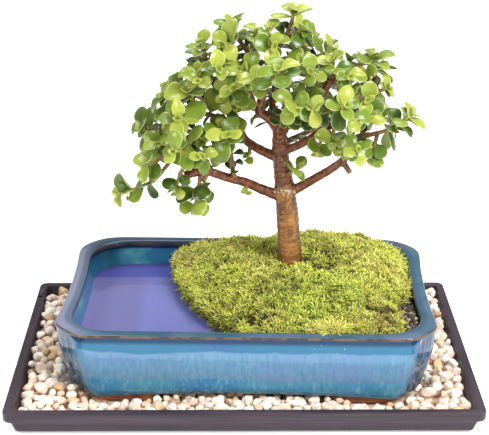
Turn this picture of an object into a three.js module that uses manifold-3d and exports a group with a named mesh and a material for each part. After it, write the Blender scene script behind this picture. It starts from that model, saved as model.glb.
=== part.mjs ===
// Dwarf jade bonsai in a land-and-water pot, standing on pebbles in a humidity tray.
// Units are millimetres. +X is to the right, +Y to the back, +Z up.
// The origin is the middle of the tray's underside.

import * as THREE from 'three';
import { mergeVertices } from 'three/addons/utils/BufferGeometryUtils.js';
import Module from 'manifold-3d';

const wasm = await Module();
wasm.setup();

// ---------------------------------------------------------------- driving dimensions

const GAP = 0.3;                 // clearance between pieces that touch

const TRAY_LENGTH = 320;
const TRAY_WIDTH = 225;
const TRAY_HEIGHT = 18.4;
const TRAY_CORNER = 6;           // corner radius of the rim
const TRAY_LIP = 6;              // width of the flat lip
const TRAY_LIP_DEPTH = 7;        // height of the lip's outer face
const TRAY_FLOOR = 2.4;          // top of the tray's floor
const TRAY_FLOOR_INSET = 9.9;    // from the rim's edge to the floor's edge, inside
const TRAY_HOLE = 1.7;           // radius of the hanging hole in the left lip
const TRAY_SKIRT = 1.2;          // the wall's lower edge stands this high between the pads
const TRAY_PADS = [[-130.3, 32], [-3, 47], [129.5, 31]]; // middle and length of each pad

const GRAVEL_TOP = 6.5;          // level of the bed under the pot
const PEBBLE_LARGE = 8.4;        // radii of the pebbles
const PEBBLE_SMALL = 5.4;
const PEBBLE_DRAWS = 4000;       // places tried for them

const POT_X = 3.2;
const POT_Y = 6.1;
const POT_TURN = -0.032;         // radians
const POT_HALF_LENGTH = 130;     // to the tips of the drawn-out corners
const POT_HALF_WIDTH = 93.5;
const POT_TOP = 61.4;
const POT_SKIRT = 10.6;          // lower edge of the glaze at the corners
const POT_ARCH = 3.4;            // and its rise to the middle of the long sides
const POT_ARCH_HALF = 100;       // half the length of that rise
const POT_UNDERSIDE = 12.2;      // between the feet
const POT_FOOT = 6.8;            // where the feet stand
const POT_LIP = 9.8;             // width of the flat rim
const POT_LIP_DEPTH = 4.7;
const POT_FLOOR = 19;            // floor inside
const DRAIN_HOLE = 7;            // radius
const DRAIN_HOLES = [[5, -8], [72, -8]];

const DIVIDER_TOP = 54.4;
const DIVIDER_HALF = 2.5;        // half its thickness
const WATER_TOP = 42.5;

const SOIL_EDGE = 54.4;          // soil level along the pot's wall
const MOSS_CROWN = 81;           // height of the moss at the trunk
const MOSS_EDGE = 61.5;          // and along its edge, which is higher or lower in places:
const MOSS_LOBES = [             // the direction of each from the trunk, its width and its rise
  { middle: 1.2, width: 0.42, rise: 8 },
  { middle: 2.75, width: 0.75, rise: -5.5 },
  { middle: 0.45, width: 0.33, rise: -4.5 },
];
const HEM_THICK = 1.9;           // the moss's hem over the divider, beside the water
const HEM_GAP = 0.8;             // between the hem and the water
const HEM_TOP = 56.4;
const HEM_REACH = 1;             // how far it lies on the divider, past its middle
const HEM_INSET = 11.5;          // it stops short of the pot's wall
const ROOT_PLUG = 52;            // lower end of the trunk, in the soil
const SECTORS = 38;              // steps round the soil and the moss

const LEAF_CLEAR = 2.7;          // between the blades of two sprays
const OWN_CLEAR = 2.2;           // between two blades of one spray
const STEM_CLEAR = 1.4;          // between a blade and another spray's stem

// ---------------------------------------------------------------- small helpers

// The same seed gives the same draw each time.
function draws(seed) {
  let state = seed >>> 0;
  return () => {
    state = (Math.imul(state, 1664525) + 1013904223) >>> 0;
    return state / 4294967296;
  };
}

// A closed skin over a stack of rings, each a list of points, anticlockwise from above.
// The first and the last ring are closed by a fan, round their middle or from the first
// point of a small one, unless the stack returns to its start.
function skin(rings, returns = false) {
  const count = rings[0].length;
  const positions = [];
  const index = [];
  rings.forEach((ring) => ring.forEach((point) => positions.push(point.x, point.y, point.z)));
  const last = returns ? rings.length : rings.length - 1;
  for (let level = 0; level < last; level += 1) {
    const low = level * count;
    const high = ((level + 1) % rings.length) * count;
    for (let i = 0; i < count; i += 1) {
      const next = (i + 1) % count;
      index.push(low + i, low + next, high + next);
      index.push(low + i, high + next, high + i);
    }
  }
  if (!returns) {
    [0, rings.length - 1].forEach((level) => {
      const small = count < 12;
      let hub = level * count;
      if (!small) {
        const middle = new THREE.Vector3();
        rings[level].forEach((point) => middle.addScaledVector(point, 1 / count));
        hub = positions.length / 3;
        positions.push(middle.x, middle.y, middle.z);
      }
      for (let i = small ? 1 : 0; i < (small ? count - 1 : count); i += 1) {
        const a = level * count + i;
        const b = level * count + (i + 1) % count;
        index.push(hub, level === 0 ? b : a, level === 0 ? a : b);
      }
    });
  }
  const geometry = new THREE.BufferGeometry();
  geometry.setAttribute('position', new THREE.Float32BufferAttribute(positions, 3));
  geometry.setIndex(index);
  return geometry;
}

function solid(geometry) {
  const bare = geometry.clone();
  bare.deleteAttribute('normal');
  bare.deleteAttribute('uv');
  const merged = mergeVertices(bare, 1e-4);
  return new wasm.Manifold(new wasm.Mesh({
    numProp: 3,
    vertProperties: new Float32Array(merged.attributes.position.array),
    triVerts: new Uint32Array(merged.index.array),
  }));
}

function shape(manifold) {
  const mesh = manifold.getMesh();
  const geometry = new THREE.BufferGeometry();
  geometry.setAttribute('position', new THREE.Float32BufferAttribute(mesh.vertProperties, 3));
  geometry.setIndex(Array.from(mesh.triVerts));
  return geometry;
}

function joined(geometries) {
  return geometries.map(solid).reduce((sum, piece) => sum.add(piece));
}

// The largest body of what a cut leaves.
function largest(manifold) {
  return manifold.decompose().sort((a, b) => b.volume() - a.volume())[0];
}

function vectors(points) {
  return points.map((point) => new THREE.Vector3(...point));
}

// A round limb along a line of points, with its radius at each. Grown, it is thicker and
// longer by that much all round.
function limb(line, radii, sides, grow = 0) {
  const last = line.length - 1;
  const across = new THREE.Vector3(0.3, 0.8, 0.1);
  const rings = line.map((point, i) => {
    const along = line[Math.min(i + 1, last)].clone().sub(line[Math.max(i - 1, 0)]).normalize();
    across.addScaledVector(along, -across.dot(along)).normalize();
    const third = new THREE.Vector3().crossVectors(along, across);
    const beyond = { 0: -grow, [last]: grow }[i] ?? 0;
    const radius = radii[i] + grow;
    return Array.from({ length: sides }, (none, side) => {
      const angle = 2 * Math.PI * side / sides;
      return point.clone().addScaledVector(along, beyond)
        .addScaledVector(across, radius * Math.cos(angle))
        .addScaledVector(third, radius * Math.sin(angle));
    });
  });
  return skin(rings);
}

function material(color, roughness, metalness = 0) {
  return new THREE.MeshStandardMaterial({ color, roughness, metalness });
}

function named(name, geometry, look) {
  const mesh = new THREE.Mesh(geometry, look);
  mesh.name = name;
  return mesh;
}

// ---------------------------------------------------------------- humidity tray

// One ring of the tray: its rim's rounded rectangle, drawn in by inset.
function trayRing(inset, z) {
  const x = TRAY_LENGTH / 2 - inset;
  const y = TRAY_WIDTH / 2 - inset;
  const r = Math.max(TRAY_CORNER - inset, 2.5);
  const ring = [];
  [[1, 1], [-1, 1], [-1, -1], [1, -1]].forEach(([sx, sy], corner) => {
    for (let step = 0; step <= 3; step += 1) {
      const angle = (corner + step / 3) * Math.PI / 2;
      ring.push(new THREE.Vector3(
        sx * (x - r) + r * Math.cos(angle),
        sy * (y - r) + r * Math.sin(angle),
        z,
      ));
    }
  });
  return ring;
}

function humidityTray() {
  const lipUnderside = TRAY_HEIGHT - TRAY_LIP_DEPTH;
  const body = skin([
    trayRing(19, 0),
    trayRing(17, TRAY_SKIRT),
    trayRing(7.6, TRAY_SKIRT),
    trayRing(6.8, TRAY_SKIRT + 0.9),
    trayRing(4, lipUnderside - 0.2),
    trayRing(0.5, lipUnderside),
    trayRing(0, TRAY_HEIGHT - 1),
    trayRing(0.8, TRAY_HEIGHT),
    trayRing(TRAY_LIP - 0.6, TRAY_HEIGHT),
    trayRing(TRAY_LIP, TRAY_HEIGHT - 0.8),
    trayRing(TRAY_FLOOR_INSET - 1, TRAY_FLOOR + 1),
    trayRing(TRAY_FLOOR_INSET, TRAY_FLOOR),
  ]);
  const hole = new THREE.CylinderGeometry(TRAY_HOLE, TRAY_HOLE, 10, 10);
  hole.rotateX(Math.PI / 2);
  hole.translate(TRAY_LIP / 2 - TRAY_LENGTH / 2, 84, TRAY_HEIGHT);
  let tray = solid(body).subtract(solid(hole));
  TRAY_PADS.forEach(([x, length]) => {
    [-1, 1].forEach((side) => {
      const pad = new THREE.BoxGeometry(length, 11, TRAY_SKIRT + 0.6);
      pad.translate(x, side * (TRAY_WIDTH / 2 - 15.2), (TRAY_SKIRT + 0.6) / 2);
      tray = tray.add(solid(pad));
    });
  });
  return shape(tray);
}

// ---------------------------------------------------------------- pot

// A quarter of the pot's outline, from the middle of its right side to the back edge.
// The short sides are drawn in a little and the corners are drawn out to two blunt points.
const POT_QUARTER = [
  [127.3, 0], [127.9, 34], [129.8, 66], [129.9, 71.5], [127.6, 76],
  [115, 90.2], [111, 92.8], [105, 93.4],
];

function potOutline(inset) {
  const mirrored = [...POT_QUARTER].reverse().map(([x, y]) => [-x, y]).slice(0, -1);
  const back = [...POT_QUARTER, ...mirrored];
  const front = back.map(([x, y]) => [-x, -y]);
  return [...back, ...front].map(([x, y]) => [
    x * (1 - inset / POT_HALF_LENGTH),
    y * (1 - inset / POT_HALF_WIDTH),
  ]);
}

function potRing(inset, z) {
  return potOutline(inset).map(([x, y]) => new THREE.Vector3(x, y, z));
}

// How far the inner wall stands in from the rim's edge, at a height.
function innerInset(z) {
  return THREE.MathUtils.mapLinear(z, DIVIDER_TOP, POT_FLOOR + 3, 8.4, 15.5);
}

// The divider's line in plan, from the front wall to the back wall.
function dividerLine() {
  const line = new THREE.SplineCurve([
    new THREE.Vector2(12, -91),
    new THREE.Vector2(-3, -56),
    new THREE.Vector2(-21, -32),
    new THREE.Vector2(-35, -4),
    new THREE.Vector2(-45.5, 26),
    new THREE.Vector2(-51, 50),
    new THREE.Vector2(-50, 72),
    new THREE.Vector2(-44, 92),
  ]);
  return line.getSpacedPoints(16);
}

// The divider's line moved sideways, positive towards the soil.
function dividerSide(shift) {
  const line = dividerLine();
  return line.map((point, i) => {
    const before = line[Math.max(i - 1, 0)];
    const after = line[Math.min(i + 1, line.length - 1)];
    const along = after.clone().sub(before).normalize();
    return [point.x + along.y * shift, point.y - along.x * shift];
  });
}

// An upright wall between two such lines.
function dividerWall(from, to, low, high) {
  const strip = new THREE.Shape([...dividerSide(from), ...dividerSide(to).reverse()]
    .map(([x, y]) => new THREE.Vector2(x, y)));
  const wall = new THREE.ExtrudeGeometry(strip, { depth: high - low, bevelEnabled: false });
  wall.translate(0, 0, low);
  return solid(wall);
}

// The lower edge of the glaze rises towards the middle of the long sides.
function skirtRing(inset, lift) {
  return potOutline(inset).map(([x, y]) => (
    new THREE.Vector3(x, y, POT_SKIRT + lift + POT_ARCH * Math.max(0, 1 - (x / POT_ARCH_HALF) ** 2))
  ));
}

function pot() {
  const outside = [
    [8.4, 18.5], [6.1, 26.5], [3.9, 35], [2.2, 43.5],
    [1.1, POT_TOP - POT_LIP_DEPTH - 0.4], [0.2, POT_TOP - POT_LIP_DEPTH],
    [0, POT_TOP - 3], [0.3, POT_TOP - 0.9], [1.4, POT_TOP],
  ];
  const inside = [
    [POT_LIP - 1.4, POT_TOP], [POT_LIP - 0.2, POT_TOP - 1], [POT_LIP, POT_TOP - 3],
    [POT_LIP - 0.5, POT_TOP - POT_LIP_DEPTH], [innerInset(DIVIDER_TOP), DIVIDER_TOP],
    [innerInset(POT_FLOOR + 3), POT_FLOOR + 3], [21, POT_FLOOR],
  ];
  const shell = solid(skin([
    skirtRing(13.4, 0),
    skirtRing(11, 1),
    ...[...outside, ...inside].map(([inset, z]) => potRing(inset, z)),
  ]));
  const trim = solid(skin([[18, POT_UNDERSIDE + 1.5], [13, 20], [8, 38], [5, POT_TOP]]
    .map(([inset, z]) => potRing(inset, z))));

  const divider = dividerWall(DIVIDER_HALF, -DIVIDER_HALF, POT_UNDERSIDE + 2, DIVIDER_TOP);
  let body = shell.add(divider.intersect(trim));
  [[1, 1], [-1, 1], [-1, -1], [1, -1]].forEach(([sx, sy]) => {
    body = body.add(solid(potFoot(sx, sy)));
  });
  DRAIN_HOLES.forEach(([x, y]) => {
    const hole = new THREE.CylinderGeometry(DRAIN_HOLE, DRAIN_HOLE, 20, 14);
    hole.rotateX(Math.PI / 2);
    hole.translate(x, y, POT_UNDERSIDE);
    body = body.subtract(solid(hole));
  });
  return shape(body);
}

// A low foot under one corner, with its outer corner cut off like the pot's.
function potFoot(sx, sy) {
  const length = 55;
  const depth = 22;
  const x = POT_HALF_LENGTH - 19;
  const y = POT_HALF_WIDTH - 16.5;
  const outline = [
    [x - length, y - depth], [x, y - depth], [x, y - 13], [x - 14, y], [x - length + 4, y],
    [x - length, y - 4],
  ].map(([px, py]) => new THREE.Vector2(sx * px, sy * py));
  const foot = new THREE.ExtrudeGeometry(new THREE.Shape(outline), {
    depth: POT_UNDERSIDE - POT_FOOT + 1.5,
    bevelEnabled: false,
  });
  foot.translate(0, 0, POT_FOOT);
  return foot;
}

const SCREEN_THICK = 0.8;

function drainScreen(x, y) {
  const half = 13;
  const plate = new THREE.Shape([
    new THREE.Vector2(-half, -half), new THREE.Vector2(half, -half),
    new THREE.Vector2(half, half), new THREE.Vector2(-half, half),
  ]);
  for (let row = -1; row <= 1; row += 1) {
    const slot = new THREE.Path([
      new THREE.Vector2(-9, row * 7 - 2), new THREE.Vector2(-9, row * 7 + 2),
      new THREE.Vector2(9, row * 7 + 2), new THREE.Vector2(9, row * 7 - 2),
    ]);
    plate.holes.push(slot);
  }
  const screen = new THREE.ExtrudeGeometry(plate, { depth: SCREEN_THICK, bevelEnabled: false });
  screen.translate(x, y, POT_FLOOR + GAP);
  return screen;
}

// ---------------------------------------------------------------- water, soil and moss

// How far a level line from a centre runs in a direction before it meets an outline
// or the divider's side.
function reach(centre, angle, outline, wall) {
  const dx = Math.cos(angle);
  const dy = Math.sin(angle);
  let nearest = Infinity;
  const meet = ([ax, ay], [bx, by]) => {
    const ex = bx - ax;
    const ey = by - ay;
    const across = dx * ey - dy * ex;
    if (Math.abs(across) < 1e-9) {
      return;
    }
    const along = ((ax - centre.x) * ey - (ay - centre.y) * ex) / across;
    const share = ((ax - centre.x) * dy - (ay - centre.y) * dx) / across;
    if (along > 0 && share >= 0 && share <= 1) {
      nearest = Math.min(nearest, along);
    }
  };
  outline.forEach((point, i) => meet(point, outline[(i + 1) % outline.length]));
  wall.slice(1).forEach((point, i) => meet(wall[i], point));
  return nearest;
}

// A level ring about a centre: share of the reach in each direction, at a height that is
// a number or a function of the place.
function fillRing(centre, inset, wallShift, share, height, sectors = SECTORS) {
  const outline = potOutline(inset);
  const wall = dividerSide(wallShift);
  const ring = [];
  for (let i = 0; i < sectors; i += 1) {
    const angle = 2 * Math.PI * (i + 0.5) / sectors;
    const distance = share(angle, reach(centre, angle, outline, wall));
    const x = centre.x + distance * Math.cos(angle);
    const y = centre.y + distance * Math.sin(angle);
    const z = typeof height === 'number' ? height : height(x, y, angle, distance);
    ring.push(new THREE.Vector3(x, y, z));
  }
  return ring;
}

function water() {
  const centre = new THREE.Vector2(-84, 2);
  const side = -DIVIDER_HALF - 0.8;
  const level = (z, inset) => fillRing(centre, inset, side, (angle, full) => full, z, 28);
  return skin([
    level(POT_FLOOR + GAP, 22),
    level(POT_FLOOR + 3, innerInset(POT_FLOOR + 3) + 0.7),
    level(WATER_TOP, innerInset(WATER_TOP) + 0.7),
  ]);
}

const TRUNK_PLUG = 9.1;          // radius of the trunk where it enters the soil
const TRUNK_HOLE = TRUNK_PLUG + GAP;
const SOIL_RIM = 10.4;           // inset of the soil's edge, inside the rim's lip

const SOIL_SIDE = DIVIDER_HALF + 0.8;
const MOSS_SIDE = -1.3;          // the moss's edge lies on top of the divider

// 1 in a direction from the trunk, and falling to 0 on both sides of it.
function near(angle, middle, width) {
  const away = Math.atan2(Math.sin(angle - middle), Math.cos(angle - middle));
  return Math.exp(-((away / width) ** 2));
}

// The moss stops short of the soil's edge at the front right corner, where soil shows.
function bare(angle) {
  return near(angle, -0.5, 0.22);
}

function mossShare(angle) {
  return 0.985 - 0.16 * bare(angle);
}

// A ring part of the way from the trunk's hole to the moss's edge.
function mossRing(centre, side, share, height) {
  const distance = (angle, full) =>
    TRUNK_HOLE + share * (full * mossShare(angle) - TRUNK_HOLE);
  return fillRing(centre, SOIL_RIM, side, distance, height);
}

// The moss swells from its edge to the trunk, where share is 0.
function mossHeight(angle, share) {
  const edge = MOSS_LOBES.reduce((sum, { middle, width, rise }) => (
    sum + rise * near(angle, middle, width)), MOSS_EDGE);
  return edge + (MOSS_CROWN - edge) * (1 - share ** 3);
}

// The bed of soil follows the moss on it, which is thickest along the walls.
const BED_STEPS = [0, 0.55, 0.96];

function bedRing(centre, share, lift) {
  const part = 0.66 - 0.5 * share;
  const height = (angle) => SOIL_EDGE + part * (mossHeight(angle, share) - SOIL_EDGE) + lift;
  return mossRing(centre, SOIL_SIDE, share, (x, y, angle) => height(angle));
}

function soil(centre) {
  const full = (angle, distance) => distance;
  const hole = () => TRUNK_HOLE;
  return skin([
    fillRing(centre, 22.4, SOIL_SIDE, full, POT_FLOOR + SCREEN_THICK + 2 * GAP),
    fillRing(centre, innerInset(POT_FLOOR + 4) + 0.9, SOIL_SIDE, full, POT_FLOOR + 4),
    fillRing(centre, SOIL_RIM, SOIL_SIDE, full, SOIL_EDGE - 1.5),
    fillRing(centre, SOIL_RIM + 1, SOIL_SIDE, full, SOIL_EDGE),
    ...[...BED_STEPS].reverse().map((share) => bedRing(centre, share, 0)),
    fillRing(centre, SOIL_RIM, SOIL_SIDE, hole, ROOT_PLUG - GAP),
  ]);
}

// Low mounds and tufts on the moss.
function mossRelief(x, y) {
  const mounds = Math.sin(x * 0.16 + 1.3 * Math.sin(y * 0.11)) * Math.sin(y * 0.19 + 0.9);
  const tufts = Math.sin(x * 0.43 + y * 0.21 + 1.1) * Math.sin(y * 0.47 - x * 0.17);
  return 2.1 * mounds + 1.5 * tufts;
}

function moss(centre) {
  const rings = 9;
  const stack = BED_STEPS.map((share) => bedRing(centre, share, GAP));
  stack.push(mossRing(centre, MOSS_SIDE, 1, (x, y, angle) => (
    SOIL_EDGE + 3 * GAP + 2.5 * Math.sqrt(bare(angle)))));
  for (let step = rings; step >= 0; step -= 1) {
    const share = 0.97 * step / rings;
    const calm = Math.min(1, 1.6 - 1.3 * share);
    stack.push(mossRing(centre, MOSS_SIDE, share, (x, y, angle) => (
      mossHeight(angle, share) + calm * mossRelief(x, y))));
  }
  return shape(solid(skin(stack, true)).add(mossHem()));
}

// Moss that has grown over the divider and hangs down its side to just above the water.
function mossHem() {
  const inner = -DIVIDER_HALF - GAP;
  const outer = inner - HEM_THICK;
  const room = solid(skin([WATER_TOP, MOSS_EDGE].map((z) => potRing(HEM_INSET, z))));
  return dividerWall(inner, outer, WATER_TOP + HEM_GAP, HEM_TOP)
    .add(dividerWall(HEM_REACH, outer, DIVIDER_TOP + GAP, HEM_TOP)).intersect(room);
}

// ---------------------------------------------------------------- gravel

// The distance from a place to the nearest side of an outline.
function fromOutline(x, y, outline) {
  const place = new THREE.Vector3(x, y, 0);
  const nearest = new THREE.Vector3();
  return Math.min(...outline.map(([ax, ay], i) => {
    const [bx, by] = outline[(i + 1) % outline.length];
    const side = new THREE.Line3(new THREE.Vector3(ax, ay, 0), new THREE.Vector3(bx, by, 0));
    return side.closestPointToPoint(place, true, nearest).distanceTo(place);
  }));
}

// A bed of small stones with larger ones standing out of it all round the pot.
function gravel() {
  const draw = draws(41);
  const bed = skin([
    trayRing(TRAY_FLOOR_INSET + 0.8, TRAY_FLOOR + GAP),
    trayRing(TRAY_FLOOR_INSET - 0.7, TRAY_FLOOR + 1 + GAP),
    trayRing(TRAY_FLOOR_INSET - 1.3, GRAVEL_TOP),
  ]);
  const pebbles = [bed];
  const potFoot = potOutline(10.6);
  const centre = new THREE.Vector2();
  const places = [];
  for (let count = 0; count < PEBBLE_DRAWS; count += 1) {
    const x = (draw() - 0.5) * TRAY_LENGTH;
    const y = (draw() - 0.5) * TRAY_WIDTH;
    const size = THREE.MathUtils.lerp(PEBBLE_LARGE, PEBBLE_SMALL, count / PEBBLE_DRAWS);
    const turn = Math.PI * draw();
    const tilt = 0.4 * (draw() - 0.5);
    const slim = 0.84 + 0.16 * draw();
    const room = TRAY_FLOOR_INSET - 1 + size;
    const insideTray = Math.abs(x) < TRAY_LENGTH / 2 - room && Math.abs(y) < TRAY_WIDTH / 2 - room;
    if (!insideTray || places.some((other) => (
      Math.hypot(x - other.x, y - other.y) < 0.86 * (size + other.size)))) {
      continue;
    }
    const inPot = new THREE.Vector2(x - POT_X, y - POT_Y).rotateAround(centre, -POT_TURN);
    const under = inPot.length() < reach(centre, inPot.angle(), potFoot, []);
    if (under || fromOutline(inPot.x, inPot.y, potFoot) < 0.9 * size) {
      continue;
    }
    places.push({ x, y, size });
    const pebble = new THREE.CylinderGeometry(0.6, 1, 1, 5);
    pebble.rotateX(Math.PI / 2);
    pebble.scale(size, size * slim, size * 1.05);
    pebble.rotateX(tilt);
    pebble.rotateZ(turn);
    pebble.translate(x, y, GRAVEL_TOP + 2.4);
    pebbles.push(pebble);
  }
  return shape(joined(pebbles));
}

// ---------------------------------------------------------------- wood

// The trunk and its limbs: points along each, and its radius along them.
const TRUNK = {
  points: [
    [33, 8, ROOT_PLUG], [33, 8, 68], [33, 8, 82], [32, 8, 103], [30, 8, 126], [28, 8, 142],
    [26, 8, 158], [25, 8, 174], [25, 8, 182],
  ],
  radii: [8.8, TRUNK_PLUG - 0.1, 8.8, 7.9, 7.5, 6.6, 5.8, 4.9, 4],
};

const LIMBS = [
  { // left, low, ending in a clean cut
    points: [[28, 8, 127], [13, 7, 133], [2, 4, 139], [-11, 0, 144], [-25, -4, 150], [-34, -6, 150],
      [-41, -7, 148]],
    radii: [4, 3.3, 3, 2.9, 2.8, 3, 2.8],
  },
  { // left, high, rising in knuckles to the crown
    points: [[26, 9, 155], [13, 12, 160], [5, 15, 164], [0, 17, 168], [-3, 18, 176], [-7, 19, 185],
      [-9, 20, 196], [-4, 19, 206], [2, 18, 216], [6, 17, 223], [2, 16, 231], [-2, 15, 237]],
    radii: [3.6, 3.1, 2.9, 2.8, 2.7, 2.3, 2, 1.8, 1.6, 1.6, 1.5, 1.3],
  },
  { // right, low
    points: [[30, 8, 129], [44, 5, 138], [52, 2, 144], [60, -1, 150], [68, -3, 157], [73, -4, 163],
      [75, -4, 172], [80, -5, 176], [87, -6, 177]],
    radii: [3.8, 3, 2.8, 2.7, 2.5, 2.2, 1.9, 1.7, 1.9],
  },
  { // right, middle, turning up to a pruned end
    points: [[26, 8, 160], [42, 8, 167], [53, 8, 175], [63, 8, 181], [71, 8, 186], [80, 8, 193],
      [87, 8, 204], [91, 8, 214]],
    radii: [3, 2.5, 2.4, 2.3, 2.1, 2, 2, 1.9],
  },
  { // right, thin, towards the back
    points: [[26, 10, 165], [40, 22, 168], [49, 30, 170], [59, 40, 174], [71, 48, 179]],
    radii: [2.3, 1.8, 1.6, 1.5, 1.2],
  },
  { // crown, left fork and leader
    points: [[25, 8, 177], [18, 8, 185], [11, 7, 190], [12, 6, 197], [14, 6, 206], [14, 7, 212],
      [17, 9, 222], [23, 10, 233], [29, 9, 244], [32, 8, 251]],
    radii: [4, 3.5, 3.1, 2.9, 2.6, 2.3, 1.9, 1.6, 1.3, 1.1],
  },
  { // crown, middle
    points: [[25, 10, 178], [21, 18, 188], [20, 24, 195], [24, 30, 205], [30, 32, 216],
      [37, 32, 226]],
    radii: [3, 2.5, 2.2, 1.9, 1.6, 1.2],
  },
  { // crown, right fork, ending in a clean cut
    points: [[25, 8, 176], [33, 5, 183], [41, 2, 187], [48, -1, 194], [53, -3, 204], [57, -4, 212],
      [59, -5, 217]],
    radii: [3.8, 3.4, 3.2, 3, 2.7, 2.6, 2.6],
  },
  { points: [[52, -2, 201], [50, 1, 210], [49, 3, 219], [49, 4, 229]], radii: [2, 1.6, 1.5, 1.3] },
  { points: [[57, -4, 210], [63, -2, 217], [68, 0, 222], [72, 2, 226]], radii: [1.8, 1.6, 1.3, 1.2] },
  { points: [[25, 6, 175], [29, -12, 192], [29, -26, 209], [25, -36, 224]], radii: [2.6, 2, 1.7, 1.3] },
  { points: [[43, 1, 189], [50, -20, 197], [58, -34, 203]], radii: [2.1, 1.6, 1.3] },
  { points: [[25, 10, 172], [18, 34, 176], [9, 52, 181], [2, 66, 185]], radii: [2.8, 2.1, 1.8, 1.4] },
  { points: [[26, 10, 171], [36, 34, 179], [45, 52, 184], [55, 66, 188]], radii: [2.8, 2.1, 1.8, 1.4] },
  { points: [[20, 24, 195], [26, 42, 191], [30, 60, 194]], radii: [1.9, 1.6, 1.3] },
  { points: [[-9, 20, 195], [-15, 17, 200], [-21, 14, 208], [-23, 12, 217], [-26, 11, 226]],
    radii: [1.9, 1.6, 1.4, 1.3, 1.1] },
  { points: [[-4, 18, 178], [-14, 14, 183], [-25, 10, 187], [-36, 8, 190], [-44, 7, 195]],
    radii: [2.2, 1.7, 1.5, 1.4, 1.2] },
  { points: [[0, 17, 168], [-11, 20, 168], [-24, 22, 170], [-36, 22, 171], [-48, 20, 172],
    [-59, 18, 173]], radii: [2.1, 1.7, 1.6, 1.5, 1.3, 1.2] },
  { points: [[-6, 19, 182], [-17, 36, 184], [-28, 50, 186], [-37, 58, 189]],
    radii: [1.9, 1.6, 1.4, 1.2] },
  { points: [[-6, 2, 141], [-8, 1, 152], [-9, 0, 163], [-12, -3, 171]], radii: [1.8, 1.5, 1.4, 1.2] },
  { points: [[-22, -3, 148], [-27, -6, 159], [-35, -9, 165], [-44, -12, 168], [-53, -14, 167]],
    radii: [2, 1.6, 1.5, 1.4, 1.2] },
];

function wood(grow = 0) {
  const pieces = [TRUNK, ...LIMBS].map(({ points, radii }) => {
    const sides = [9, 5, 4][[5, 2.7, 0].findIndex((least) => radii[0] > least)];
    return limb(vectors(points), radii, sides, grow);
  });
  return joined(pieces);
}

// ---------------------------------------------------------------- leafy shoots

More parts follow.
